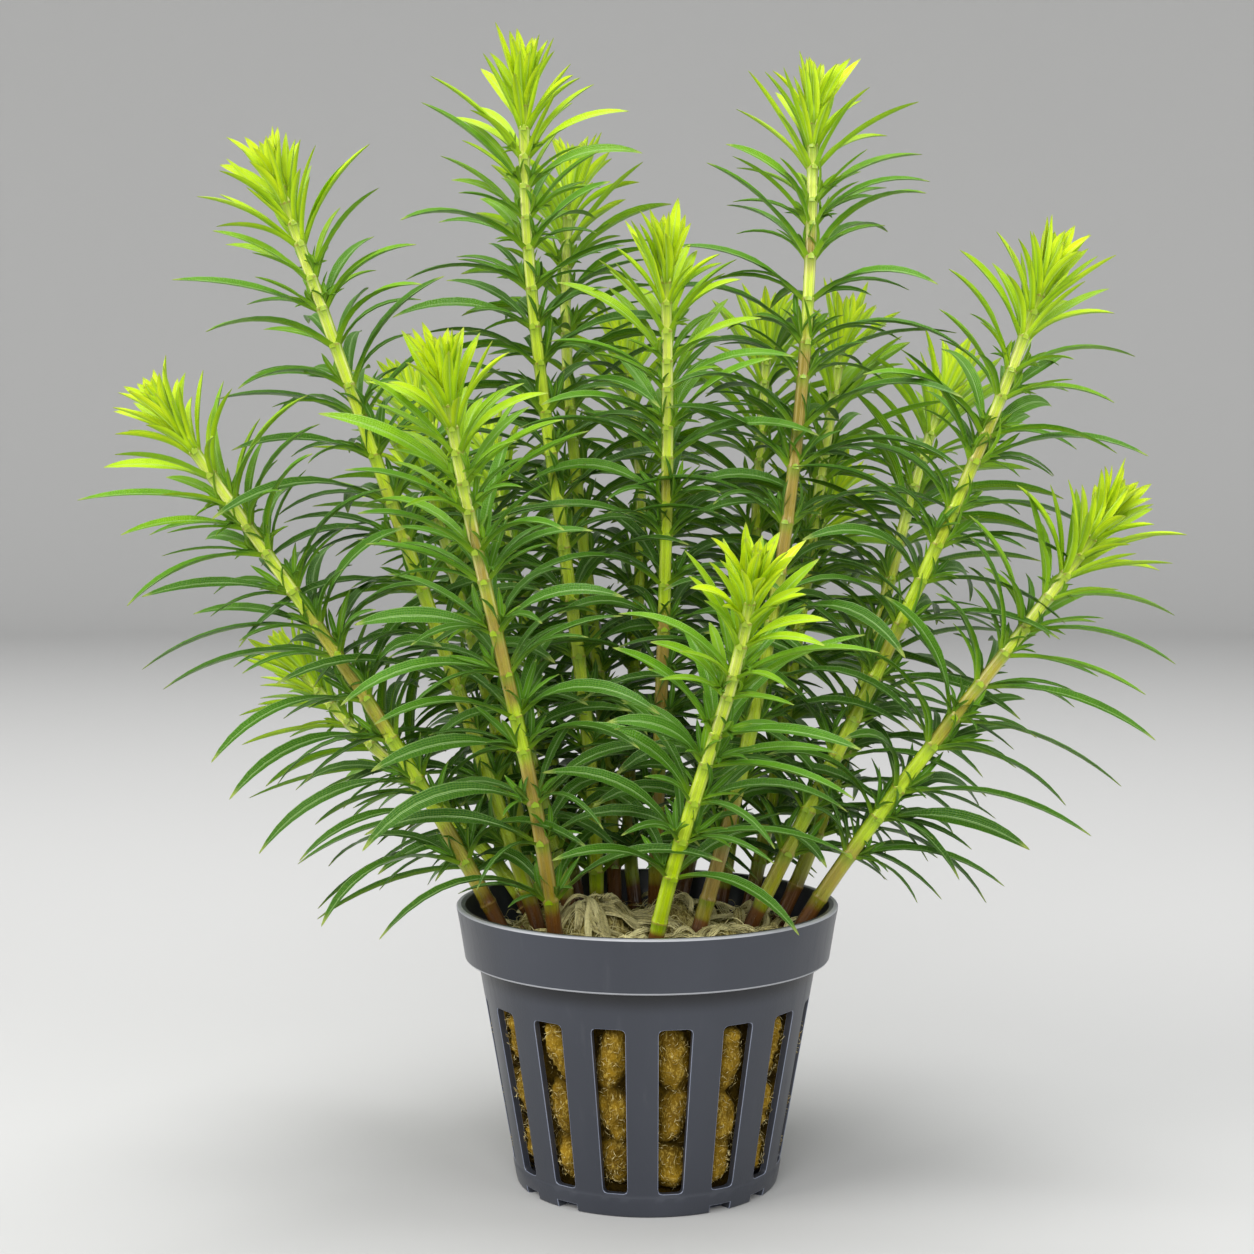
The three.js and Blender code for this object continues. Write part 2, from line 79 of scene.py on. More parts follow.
# How light the plastic is, and how much lighter its copy on the bevelled edges is: that copy is a painted
# highlight
PLASTIC_LIGHT = 0.72
EDGE_HIGHLIGHT = 4.0
FOOT_STEP = 0.09
FOOT_ROUNDING = 0.35
LIP_ROUNDING = 0.2

# The rock wool plug: lumps behind each slot as (height, half height), and tufts on its top as
# (x, y, height, reach). Its core lies a little below the locks of fibre that cover it.
PLUG_TOP = 32.3
PLUG_BOTTOM = 1.2
WOOL_GAP = 0.3
LUMP_DEPTH = 1.9
LUMP_BULGE = 0.9
LUMPS = [(5.9, 3.1), (12.3, 3.6), (20.2, 4.6)]
TUFTS = [
    (-6.8, 1.5, 4.3, 5.5), (10.0, -8.0, 2.2, 4.5), (4.0, 5.0, 3.0, 4.5), (-3.0, -14.0, 1.4, 4.0),
    (3.0, 14.0, 2.2, 4.0), (14.0, 5.0, 2.0, 4.0), (-14.0, 7.0, 1.8, 4.0),
]
WOOL_REACH = 20.6
LUMP_FIBRES = 84
MAIN_LOCKS = 32
LOCKS = 94
STRANDS = 9
LOOSE_FIBRES = 420
CORE_DROP = 0.45
LOCK_SWIRL = 1.3
FIBRE_SIDES = 3
WOOL_SEED = 7
COLUMNS_PER_SLOT = 15
SIDE_ROWS = 78
TOP_ROWS = 38

# Each stem: foot, the two points that bend it, and tip
STEMS = [
    ((-13.5, 2), (-24, 0, 64), (-36.5, -4, 98), (-46.3, -8, 129)),
    ((-17.5, -1), (-30, -3.5, 56.5), (-47.5, -7.5, 81), (-59.4, -11.8, 99.4)),
    ((-7, 13), (-6, 10.5, 67.5), (-18, 6.5, 108.5), (-15.8, 2, 143)),
    ((-4.5, 16.5), (-4.5, 18, 66), (-14.5, 20.5, 103.5), (-10.6, 24, 134)),
    ((-11.5, -6), (-13.5, -11.5, 57), (-21, -20.5, 79), (-23.3, -29.5, 102.8)),
    ((1, 14.5), (1.5, 10.5, 60), (3.5, 3, 91.5), (2.2, -4.8, 119.5)),
    ((5.5, -4), (17, -2, 65.5), (22, 1, 105), (21.5, 4, 141)),
    ((12, 1), (22.5, -0.5, 52), (42, -3, 89.5), (50.3, -6, 117.7)),
    ((18, -1), (28.5, -3.5, 49), (47.5, -7.5, 71), (57, -11.8, 87)),
    ((0.5, -9.5), (3, -15, 48), (11, -24, 65), (12, -33.3, 79.5)),
    ((13, 13), (18.5, 18, 46), (23.5, 23, 89), (28, 26.7, 113)),
    ((16.5, 7), (31, 10.5, 58), (32.5, 18.5, 82), (43, 26.5, 106)),
    ((-14, 7.5), (-21, 11, 45), (-36, 17, 50), (-50, 21.5, 66.5)),
    ((9.6, 15.4), (15.5, 20, 60), (15, 29, 88.5), (18, 38.5, 114.5)),
    ((-9.5, 7.5), (-17, 13, 62), (-27, 20, 86), (-33.5, 27.7, 104)),
    ((-1.2, 18.2), (-6, 24, 56.5), (3.5, 30, 83.5), (-3.8, 36.7, 111.5)),
    ((-14, 11.5), (-19.5, 12.5, 55), (-25.5, 13.5, 75.5), (-31, 14, 95.5)),
    ((-9, 15.8), (-14, 26, 56), (-20, 36, 80), (-23.8, 45.5, 97)),
    ((4, 17.8), (9, 26, 54), (21, 37, 75), (28.6, 45.6, 91)),
]
FOOT_DEPTH = 2.6
FOOT_STEM_RADIUS = 1.08
TIP_STEM_RADIUS = 0.72
CURVE_SAMPLES = 400

# Nodes of a stem, counted from its tip: crowded in the crown, further and further apart below it
NODE_SPACING = 4.6
CROWDING = 3.6
CROWDING_NODES = 5.0
STRETCHING = 0.08
NODE_SPREAD = 0.17
LOWEST_LEAF = 38.0
POT_CLEARANCE = 0.9
CROWN_LENGTH = 10.0
OPEN_CROWN_LENGTH = 4.0
FIRST_SHOOT = 9.0
FULL_SHOOTS = 34.0
SHOOT_LOSS = 0.18
BUD_LEAVES = 10
SPIRAL_ANGLE = 137.5

# Rings of the stalk: places beside each node, distance elsewhere, and sides
NODE_RINGS = (-0.9, -0.45, -0.2, 0.0, 0.2, 0.45, 0.9)
RING_SPACING = 1.3
STALK_SIDES = 16

# How much a node swells the stalk and over what distance, the same below the node, and the blunt corners
NODE_SWELL = (0.09, 0.35)
BELOW_SWELL = (0.04, 1.2)
CORNER_RISE = 0.07

# How much pinkish brown each stem shows
BROWNING = [
    0.5, 0.65, 0.35, 0.4, 0.75, 1.0, 0.8, 0.65, 0.65, 0.0, 0.5, 0.5, 0.5, 0.6, 0.4, 0.6, 0.5, 0.6, 0.5,
]

# Leaves by distance from the tip: (old value, young value, distance over which it grows)
LEAF_LENGTH = (22.0, 6.5, 14.0)
LEAF_WIDTH = (2.4, 1.4, 16.0)
LEAF_TILT = (44.0, 4.0, 7.0)
LEAF_TURN = (84.0, 10.0, 30.0)
LEAF_SAG = (2.0, 0.0, 20.0)
AZIMUTH_SPREAD = 15.0
TILT_SPREAD = 9.0
TURN_SPREAD = 20.0
LENGTH_SPREAD = 0.18
WIDTH_SPREAD = 0.14
LEAF_LOSS = 0.75
LEAF_LOSS_FROM = 28.0
LEAF_LOSS_TO = 65.0
LEAF_AGEING = 28.0
STALK_AGEING = 75.0
OLDEST_STALK = 0.8

# A leaf that starts lower than this share of upright bends less, the lower it starts
UPRIGHT_SHARE = 0.72
LEVELLING = 0.55
RAISING_TRIES = 6

# Kinds of whorl that take turns along a stem: (azimuth from the front, share of full length, of width)
WHORLS = [
    [(72, 0.95, 1.0), (288, 0.9, 1.0), (116, 0.75, 0.6), (246, 0.7, 0.6), (165, 0.85, 0.8), (205, 0.6, 0.55),
     (98, 0.5, 0.45), (266, 0.55, 0.45)],
    [(90, 1.0, 1.0), (270, 1.0, 1.0), (180, 0.9, 0.9), (52, 0.6, 0.5), (308, 0.55, 0.5), (135, 0.7, 0.6),
     (225, 0.8, 0.65)],
    [(80, 0.9, 0.9), (280, 0.95, 0.95), (50, 0.6, 0.45), (312, 0.65, 0.5), (150, 0.9, 0.8), (195, 0.6, 0.6),
     (248, 0.65, 0.5), (120, 0.6, 0.5)],
    [(58, 1.0, 1.0), (302, 1.0, 1.0), (145, 0.95, 0.9), (215, 0.95, 0.9), (96, 0.6, 0.5), (262, 0.6, 0.5),
     (180, 0.5, 0.5)],
]
OPEN_WHORLS = [
    [(78, 1.0, 1.0), (282, 1.0, 1.0), (46, 0.8, 0.75), (314, 0.8, 0.75), (115, 0.9, 0.9), (245, 0.9, 0.9),
     (160, 0.85, 0.85), (200, 0.85, 0.85)],
    [(58, 1.0, 1.0), (302, 1.0, 1.0), (93, 0.85, 0.8), (267, 0.85, 0.8), (145, 0.95, 0.9), (215, 0.95, 0.9),
     (180, 0.8, 0.8), (34, 0.65, 0.65), (326, 0.65, 0.65)],
]
CROWN_WHORL = [(azimuth, share, 1.0) for azimuth, share in zip(range(0, 360, 45), (0.8, 0.9, 1.0, 0.9) * 2)]

# Cross-sections of a blade: place across, upper side or not, lift of the fold, and thickness
FULL_BLADE = np.array([
    (1.0, 1, 1.0, 0.0), (0.55, 1, 0.42, 0.0), (0.0, 1, 0.0, 0.0), (-0.55, 1, 0.42, 0.0),
    (-1.0, 1, 1.0, 0.0), (0.0, 0, 0.0, 1.35),
])
SMALL_BLADE = np.array([(1.0, 1, 1.0, 0.0), (0.0, 1, 0.0, 0.0), (-1.0, 1, 1.0, 0.0), (0.0, 0, 0.0, 1.2)])

# What a leaf has where it is given no value of its own
PLAIN_LEAF = {
    "sag": 0.0, "sway": 0.0, "follow": 0.0, "roll": 0.0, "base": 0.6, "fold": 0.35, "thick": 0.13,
    "steps": 4, "section": SMALL_BLADE, "bract": False, "tint": 0.0,
}

# The camera at the photograph's viewing angle, placed in metres
CAMERA_PLACE = (0.0, -0.2674, 0.0870)
CAMERA_DOWN = 0.054
CAMERA_LEFT = 0.0099
LENS = 58.9

# Area lights in metres and watts: name, place, size, power and colour
LIGHTS = [
    ("key", (-1.1, -0.55, 0.75), (0.9, 0.9), 12.5, (1.0, 0.99, 0.97)),
    ("fill", (1.0, -0.85, 0.6), (0.7, 0.7), 5.0, (0.98, 0.99, 1.0)),
    ("front", (-0.15, -1.3, 0.85), (1.1, 0.8), 15.0, (1.0, 1.0, 1.0)),
    ("top", (0.05, 0.1, 1.2), (0.7, 0.7), 10.0, (1.0, 1.0, 1.0)),
]
LIGHTS_AIM = (0.0, 0.0, 0.08)

# The studio's round floor, and the bend that lifts it into a wall
FLOOR_RADIUS = 1300.0
FLOOR_BEND = 500.0
FLOOR_SIDES = 64
BEND_STEPS = 16
STUDIO_WALL_TOP = 1000.0


def chance(stem, node, azimuth, use):
    """A repeatable number from 0 to 1 for a stem, a node, an azimuth and a use."""
    wave = math.sin(stem * 12.9898 + node * 78.233 + azimuth * 0.618 + use * 37.719) * 43758.5453
    return wave - math.floor(wave)


def spread(stem, node, azimuth, use, most):
    """A repeatable number from -most to most, by the same rule as chance."""
    return (chance(stem, node, azimuth, use) * 2 - 1) * most


def grown(value, distance):
    """A value of a leaf that grows with its distance from the tip."""
    old, young, over = value
    return old - (old - young) * math.exp(-distance / over)


def node_distance(stem, node):
    """How far below its tip a stem's node lies."""
    ratio = math.exp(-1 / CROWDING_NODES)
    count = node + spread(stem, node, 0, 24, NODE_SPREAD)
    return NODE_SPACING * count - CROWDING * (1 - ratio**count) / (1 - ratio) + STRETCHING * count**2


def unit(vectors):
    """Vectors of length 1 in the same directions."""
    return vectors / np.maximum(np.linalg.norm(vectors, axis=-1, keepdims=True), 1e-9)


def smooth(value, low, high):
    """0 below low, 1 above high, and a smooth step between them."""
    share = np.clip((value - low) / (high - low), 0, 1)
    return share * share * (3 - 2 * share)


class Skin:
    """Points and faces of a mesh, with one value of each attribute to a point."""

    def __init__(self, attributes=()):
        self.points = []
        self.faces = []
        self.slots = []
        self.values = {name: [] for name in attributes}
        self.count = 0

    def add(self, points, faces, slot=0, **values):
        """points is (n, 3), faces a list of (m, 3) and (m, 4) arrays that count from this batch."""
        for corners in faces:
            self.faces += (np.asarray(corners) + self.count).tolist()
            self.slots += [slot] * len(corners)
        self.points.append(points)
        self.count += len(points)
        for name, held in self.values.items():
            value = np.asarray(values[name], float)
            shape = (len(points), 3) if value.ndim and value.shape[-1:] == (3,) else (len(points),)
            held.append(np.broadcast_to(value, shape))

    def mesh(self, name, materials, sharp=None):
        """The mesh, scaled to metres and shaded smooth up to the sharp angle in degrees."""
        made = bpy.data.meshes.new(name)
        made.from_pydata(np.concatenate(self.points) * MM, [], self.faces)
        made.polygons.foreach_set("material_index", self.slots)
        made.shade_smooth()
        for attribute, held in self.values.items():
            value = np.concatenate(held)
            kind, key = ("FLOAT_VECTOR", "vector") if value.ndim == 2 else ("FLOAT", "value")
            layer = made.attributes.new(attribute, kind, "POINT")
            layer.data.foreach_set(key, value.astype(np.float32).ravel())
        if sharp:
            made.set_sharp_from_angle(angle=math.radians(sharp))
        for material in materials:
            made.materials.append(material)
        return made


def placed(name, data):
    """A new object in the scene."""
    made = bpy.data.objects.new(name, data)
    bpy.context.scene.collection.objects.link(made)
    return made


def piece(name, mesh, node):
    """A piece of the object that stands for one solid of the model."""
    made = placed(name, mesh)
    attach(made, "root")
    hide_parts(node)
    return made


def round_angles(count):
    """Angles that divide a full turn evenly."""
    return np.arange(count) * 2 * math.pi / count


def circles(first, second, sides):
    """A unit circle of points in the plane of each pair of directions."""
    angles = round_angles(sides)[None, :, None]
    return first[:, None] * np.cos(angles) + second[:, None] * np.sin(angles)


def about_axis(angles, radius, z):
    """Points round the pot's axis, by their angle from the front."""
    return np.stack(np.broadcast_arrays(np.sin(angles) * radius, -np.cos(angles) * radius, z), -1)


def ring_faces(rings, sides):
    """Quads between rings of points, each ring counter-clockwise seen from the last one."""
    ring, side = np.meshgrid(np.arange(rings - 1), np.arange(sides), indexing="ij")
    after = (side + 1) % sides
    low = ring * sides
    quads = np.stack([low + side, low + after, low + sides + after, low + sides + side], -1)
    return quads.reshape(-1, 4)


def cap_faces(ring, sides, centre, facing_back=False):
    """Triangles that close a ring with one more point."""
    side = np.arange(sides)
    after = (side + 1) % sides
    if facing_back:
        side, after = after, side
    return np.stack([ring + side, ring + after, np.full(sides, centre)], -1)


def closed_faces(rings, sides, clockwise=False):
    """Faces of rings of points that two more points close, the first ring's and then the last one's."""
    count = rings * sides
    walls = ring_faces(rings, sides)
    start = cap_faces(0, sides, count, facing_back=not clockwise)
    end = cap_faces(count - sides, sides, count + 1, facing_back=clockwise)
    return [walls[:, ::-1] if clockwise else walls, start, end]


class Nodes:
    """Short ways to add shader nodes to a material."""

    def __init__(self, name):
        self.material = bpy.data.materials.new(name)
        self.material.use_nodes = True
        self.tree = self.material.node_tree
        self.shader = self.tree.nodes["Principled BSDF"]

    def feed(self, socket, value):
        """Links a socket to another, or sets its constant."""
        if isinstance(value, bpy.types.NodeSocket):
            self.tree.links.new(value, socket)
        else:
            socket.default_value = (*value, 1.0) if socket.type == "RGBA" else value

    def node(self, kind, inputs=(), **settings):
        made = self.tree.nodes.new(kind)
        for name, value in settings.items():
            setattr(made, name, value)
        for name, value in dict(inputs).items():
            self.feed(made.inputs[name], value)
        return made

    def attribute(self, name, output="Fac"):
        return self.node("ShaderNodeAttribute", attribute_name=name).outputs[output]

    def parts(self, name):
        """The three values of a mesh attribute."""
        return self.node("ShaderNodeSeparateXYZ", {"Vector": self.attribute(name, "Vector")}).outputs

    def maths(self, operation, first, second=0.5):
        return self.node("ShaderNodeMath", {0: first, 1: second}, operation=operation).outputs[0]

    def product(self, first, second):
        return self.maths("MULTIPLY", first, second)

    def total(self, first, *others):
        for value in others:
            first = self.maths("ADD", first, value)
        return first

    def shifted(self, value, by, amount):
        """value, moved up or down by at most half of amount as another value goes from 0 to 1."""
        return self.total(value, self.product(self.maths("SUBTRACT", by), amount))

    def step(self, value, low, high, out_low=0.0, out_high=1.0):
        inputs = {"Value": value, "From Min": low, "From Max": high, "To Min": out_low, "To Max": out_high}
        made = self.node("ShaderNodeMapRange", inputs, interpolation_type="SMOOTHSTEP")
        return made.outputs["Result"]

    def mix(self, factor, first, second):
        inputs = {"Factor": factor, 6: first, 7: second}
        return self.node("ShaderNodeMix", inputs, data_type="RGBA").outputs[2]

    def over(self, colour, cover, value, low, high, most=1.0):
        """A colour, covered by another up to a share of most as a value goes from low to high."""
        return self.mix(self.step(value, low, high, 0.0, most), colour, cover)

    def ramp(self, value, stops):
        made = self.node("ShaderNodeValToRGB", {"Fac": value})
        elements = made.color_ramp.elements
        while len(elements) < len(stops):
            elements.new(1.0)
        for element, (place, colour) in zip(elements, stops):
            element.position = place
            element.color = (*colour, 1.0)
        return made.outputs["Color"]

    def noise(self, scale, detail=2.0, distortion=0.0):
        """Noise of one scale, or of three that stretch it along the axes."""
        place = self.node("ShaderNodeTexCoord").outputs["Object"]
        if isinstance(scale, tuple):
            place = self.node("ShaderNodeMapping", {"Vector": place, "Scale": scale}).outputs["Vector"]
            scale = 1.0
        inputs = {"Vector": place, "Scale": scale, "Detail": detail, "Distortion": distortion}
        return self.node("ShaderNodeTexNoise", inputs).outputs["Fac"]

    def bump(self, height, distance, strength=1.0):
        inputs = {"Height": height, "Distance": distance, "Strength": strength}
        return self.node("ShaderNodeBump", inputs).outputs["Normal"]

    def finish(self, colour, roughness, normal=None, specular=0.5):
        inputs = {"Base Color": colour, "Roughness": roughness, "Specular IOR Level": specular}
        if normal:
            inputs["Normal"] = normal
        for name, value in inputs.items():
            self.feed(self.shader.inputs[name], value)
        return self.material


def leaf_material():
    """Lime crowns, deep green old leaves, pale lines beside the midrib that are partly its own colour and
    partly painted sheen, veins, and a paler underside.
    """
    nodes = Nodes("leaf")
    across, along, upper = nodes.parts("blade")
    patch = nodes.noise(420.0)
    fine = nodes.noise(2600.0, 3.0)
    ripe = nodes.shifted(nodes.attribute("age"), nodes.attribute("tint"), 0.2)
    ripe = nodes.shifted(ripe, patch, 0.14)
    top = nodes.ramp(ripe, [
        (0.0, (0.74, 0.91, 0.008)),
        (0.2, (0.54, 0.79, 0.005)),
        (0.36, (0.23, 0.47, 0.004)),
        (0.5, (0.095, 0.285, 0.003)),
        (0.66, (0.045, 0.17, 0.003)),
        (1.0, (0.020, 0.095, 0.003)),
    ])
    under = nodes.ramp(ripe, [
        (0.0, (0.50, 0.72, 0.009)),
        (0.4, (0.20, 0.40, 0.006)),
        (1.0, (0.065, 0.18, 0.008)),
    ])
    colour = nodes.over(under, top, upper, 0.3, 0.7)
    middle = nodes.maths("ABSOLUTE", across)
    beside_rib = nodes.maths("ABSOLUTE", nodes.maths("SUBTRACT", middle, 0.08))
    veins = nodes.maths("SINE", nodes.product(across, 26.0))
    cross = nodes.maths("SINE", nodes.total(nodes.product(along, 330.0), nodes.product(patch, 30.0)))
    pale = nodes.mix(0.5, colour, (0.40, 0.56, 0.09))
    rib = nodes.mix(0.65, colour, (0.44, 0.63, 0.25))
    colour = nodes.over(colour, pale, veins, 0.2, 1.0, 0.3)
    colour = nodes.over(colour, pale, cross, 0.2, 1.0, 0.16)
    # Pale lines beside the midrib: the midrib's own pale colour and a painted sheen in its channel
    colour = nodes.over(colour, rib, beside_rib, 0.07, 0.02, 0.8)
    colour = nodes.over(colour, rib, middle, 0.88, 1.0, 0.5)
    colour = nodes.over(colour, (0.5, 0.58, 0.12), along, 0.92, 1.0, 0.6)
    colour = nodes.over(colour, (0.26, 0.44, 0.008), along, 0.2, 0.0, 0.7)
    height = nodes.total(nodes.product(veins, 0.5), nodes.product(cross, 0.25), nodes.product(fine, 0.8))
    height = nodes.maths("SUBTRACT", height, nodes.step(middle, 0.2, 0.0, 0.0, 1.2))
    roughness = nodes.step(patch, 0.3, 0.7, 0.32, 0.44)
    return nodes.finish(colour, roughness, nodes.bump(height, 0.00007, 0.7), 0.24)


def stalk_material():
    """Cream to yellow-green, green below each node, with pinkish brown stretches, dark brown feet, and cream
    corner lines that are partly pale ridges and partly painted highlight.
    """
    nodes = Nodes("stalk")
    around, below, to_node = nodes.parts("blade")
    age = nodes.attribute("age")
    streak = nodes.noise((1100.0, 1100.0, 130.0), 3.0)
    colour = nodes.ramp(nodes.shifted(age, nodes.noise(150.0), 0.12), [
        (0.0, (0.52, 0.67, 0.02)),
        (0.14, (0.62, 0.74, 0.06)),
        (0.36, (0.54, 0.70, 0.012)),
        (0.6, (0.48, 0.67, 0.005)),
        (0.82, (0.38, 0.51, 0.005)),
        (0.9, (0.14, 0.055, 0.010)),
        (1.0, (0.06, 0.021, 0.006)),
    ])
    fresh = nodes.step(age, 0.9, 0.8)
    young = nodes.product(nodes.step(age, 0.5, 0.2, 0.2, 1.0), fresh)
    corners = nodes.maths("COSINE", nodes.product(around, 8 * math.pi))
    blush = nodes.shifted(nodes.attribute("tint"), streak, 0.35)
    colour = nodes.over(colour, (0.3, 0.14, 0.03), blush, 0.3, 0.8, nodes.product(fresh, 0.8))
    # Cream lines on the young stalk's blunt corners: pale ridges with a painted highlight
    colour = nodes.over(colour, (0.95, 0.90, 0.46), corners, -0.3, -0.95, nodes.product(young, 0.6))
    colour = nodes.over(colour, (0.6, 0.6, 0.2), streak, 0.55, 0.75, nodes.product(young, 0.3))
    colour = nodes.over(colour, (0.17, 0.32, 0.005), below, 2.2, 0.2, nodes.product(fresh, 0.6))
    colour = nodes.over(colour, (0.33, 0.22, 0.05), to_node, 0.2, 0.05, 0.6)
    ridges = nodes.maths("SINE", nodes.product(around, 100.5))
    height = nodes.total(nodes.product(ridges, 0.3), streak)
    roughness = nodes.step(streak, 0.3, 0.7, 0.24, 0.38)
    return nodes.finish(colour, roughness, nodes.bump(height, 0.00009, 0.5))


def plastic_material(name, light):
    """Satin blue-grey moulded plastic with faint flow marks, fine scuffs, a painted highlight on the band's
    edges and painted shade under the band.
    """
    nodes = Nodes(name)
    flow = nodes.noise((60.0, 60.0, 18.0), 3.0)
    grain = nodes.noise(3200.0)
    scuff = nodes.noise((700.0, 700.0, 90.0), 4.0)
    wear = nodes.attribute("wear")
    edge_highlight = nodes.shifted(wear, scuff, 0.3)
    shades = ((0.040, 0.045, 0.060), (0.052, 0.058, 0.076), (0.1, 0.105, 0.12))
    dark, pale, worn = (tuple(light * value for value in shade) for shade in shades)
    colour = nodes.over(dark, pale, flow, 0.3, 0.7)
    colour = nodes.over(colour, worn, scuff, 0.6, 0.8, 0.25)
    # Painted highlight along the band's lower edge and the rim
    colour = nodes.over(colour, (0.42, 0.43, 0.46), edge_highlight, 0.3, 0.8, 0.85)
    # Painted shade, near black, under the band
    colour = nodes.over(colour, (0.006, 0.006, 0.008), wear, 0.0, -1.0, 0.8)
    roughness = nodes.total(nodes.step(flow, 0.3, 0.7, 0.3, 0.38), nodes.step(scuff, 0.5, 0.8, 0.0, 0.1))
    height = nodes.total(grain, nodes.product(flow, 2.0))
    return nodes.finish(colour, roughness, nodes.bump(height, 0.00003, 0.5))


def wool_material():
    """Damp ochre mineral wool with painted shade in its folds and on its top between the locks, and golden
    strands that are partly painted sheen, under pale straw-coloured fibres.
    """
    nodes = Nodes("rock_wool")
    proud, height_share, loose = nodes.parts("wool")
    clump = nodes.noise(330.0, 4.0)
    strand = nodes.noise((1700.0, 1700.0, 520.0), 3.0, 2.2)
    grain = nodes.noise(2300.0)
    # Painted shade: the less proud a place on the plug stands, the more of this near-black colour it takes
    deep = nodes.over((0.035, 0.02, 0.001), (0.10, 0.06, 0.002), clump, 0.3, 0.7)
    body = nodes.over((0.115, 0.064, 0.002), (0.27, 0.16, 0.008), clump, 0.35, 0.68)
    # Golden strands: partly the fibres' own colour, partly a painted sheen
    body = nodes.over(body, (0.6, 0.44, 0.09), strand, 0.5, 0.72, 0.55)
    body = nodes.over(body, (0.55, 0.4, 0.10), grain, 0.55, 0.7, 0.35)
    # The plug's top: its own olive tone, darkened into painted shade for the valleys between the locks
    top = nodes.over((0.11, 0.082, 0.014), (0.50, 0.43, 0.15), strand, 0.3, 0.7)
    pale = nodes.over((0.78, 0.67, 0.34), (0.98, 0.90, 0.47), height_share, 0.7, 0.9)
    colour = nodes.over(deep, body, proud, 0.2, 0.85)
    colour = nodes.over(colour, top, height_share, 0.86, 0.97)
    colour = nodes.mix(loose, colour, pale)
    height = nodes.total(strand, nodes.product(clump, 2.0), grain)
    roughness = nodes.step(strand, 0.3, 0.7, 0.65, 0.95)
    return nodes.finish(colour, roughness, nodes.bump(height, 0.0003, 0.8), 0.12)


def root_material():
    """Dry brown root ends and debris."""
    nodes = Nodes("root")
    mottle = nodes.noise(900.0, 3.0)
    colour = nodes.over((0.07, 0.02, 0.01), (0.2, 0.08, 0.035), mottle, 0.3, 0.7)
    return nodes.finish(colour, nodes.step(mottle, 0.3, 0.7, 0.4, 0.7), nodes.bump(mottle, 0.0001))


def wall_radius(z):
    return FOOT_RADIUS + (BODY_TOP_RADIUS - FOOT_RADIUS) * z / BAND_BOTTOM


def inner_radius(z):
    return wall_radius(z) - WALL


def slot_height(z):
    """How far up a slot a height lies, from 0 to 1."""
    return np.clip((z - SLOT_BOTTOM) / (SLOT_TOP - SLOT_BOTTOM), 0, 1)


def arc(centre, radius, start, end, steps):
    """Points of a profile round a centre, from one angle to another in degrees."""
    angles = np.radians(np.linspace(start, end, steps + 1))
    return [(centre[0] + radius * math.cos(a), centre[1] + radius * math.sin(a)) for a in angles]


def pot_profile():
    """Outer and inner points of the pot's wall, in pairs from the middle of the floor to the rim."""
    floor = (2.0, FLOOR_SLOT_START, 9.5, FLOOR_SLOT_END, FOOT_RADIUS - NOTCH_DEPTH)
    pairs = [((radius, 0.0), (radius, WALL)) for radius in floor]
    corner = arc((FOOT_RADIUS + FOOT_STEP - FOOT_ROUNDING, FOOT_ROUNDING), FOOT_ROUNDING, -90, 0, 3)
    pairs += [(point, (inner_radius(WALL) - 0.3 + 0.08 * i, WALL)) for i, point in enumerate(corner)]
    for z, step in ((NOTCH_HEIGHT, FOOT_STEP), (1.8, FOOT_STEP), (2.5, FOOT_STEP), (2.62, 0.0)):
        pairs.append(((wall_radius(z) + step, z), (inner_radius(z), z + 0.35)))
    slot_rows = [SLOT_BOTTOM, SLOT_BOTTOM + SLOT_CORNER, 7, 10.5, 14, 17.5, 21]
    slot_rows += [SLOT_TOP - SLOT_CORNER, SLOT_TOP]
    for z in (*slot_rows, 26.5, 28.3, UNDER_BAND_SHADE_TOP - 0.25):
        pairs.append(((wall_radius(z), z), (inner_radius(z), z)))
    outer = [(wall_radius(29.3), 29.3), (wall_radius(29.3) + 0.12, 29.42)]
    outer += arc((BAND_BOTTOM_RADIUS - BAND_ROUNDING, BAND_CURL), BAND_ROUNDING, -90, 0, 4)
    outer += [(24.25, 32.0), (24.6, 34.2), (RIM_RADIUS - 0.02, POT_HEIGHT - RIM_ROUNDING)]
    outer += arc((RIM_RADIUS - RIM_ROUNDING, POT_HEIGHT - RIM_ROUNDING), RIM_ROUNDING, 20, 90, 4)
    outer += [(RIM_RADIUS - RIM_WIDTH / 2, POT_HEIGHT)]
    lip = RIM_RADIUS - RIM_WIDTH
    inner = [(inner_radius(29.3), 29.3), (inner_radius(29.6), 29.8)]
    inner += [(inner_radius(BAND_BOTTOM) + 0.05 + 0.25 * i, 30.4 + 0.12 * i) for i in range(5)]
    inner += [(23.0, 32.0), (23.4, 34.2), (lip, POT_HEIGHT - RIM_ROUNDING)]
    inner += arc((lip + LIP_ROUNDING, POT_HEIGHT - LIP_ROUNDING), LIP_ROUNDING, 170, 100, 4)
    inner += [(lip + RIM_WIDTH / 2 - 0.02, POT_HEIGHT)]
    return pairs + list(zip(outer, inner))


def wear_of(radius, z):
    """1 on the edges of the band, which get a painted highlight, down to -1 under the band, where shade is
    painted.
    """
    on_band = radius > BAND_BOTTOM_RADIUS - 0.3
    if on_band:
        return float(z < BAND_CURL or z > POT_HEIGHT - 0.25)
    return -float(smooth(z, UNDER_BAND_SHADE_TOP - UNDER_BAND_SHADE_HEIGHT, UNDER_BAND_SHADE_TOP))


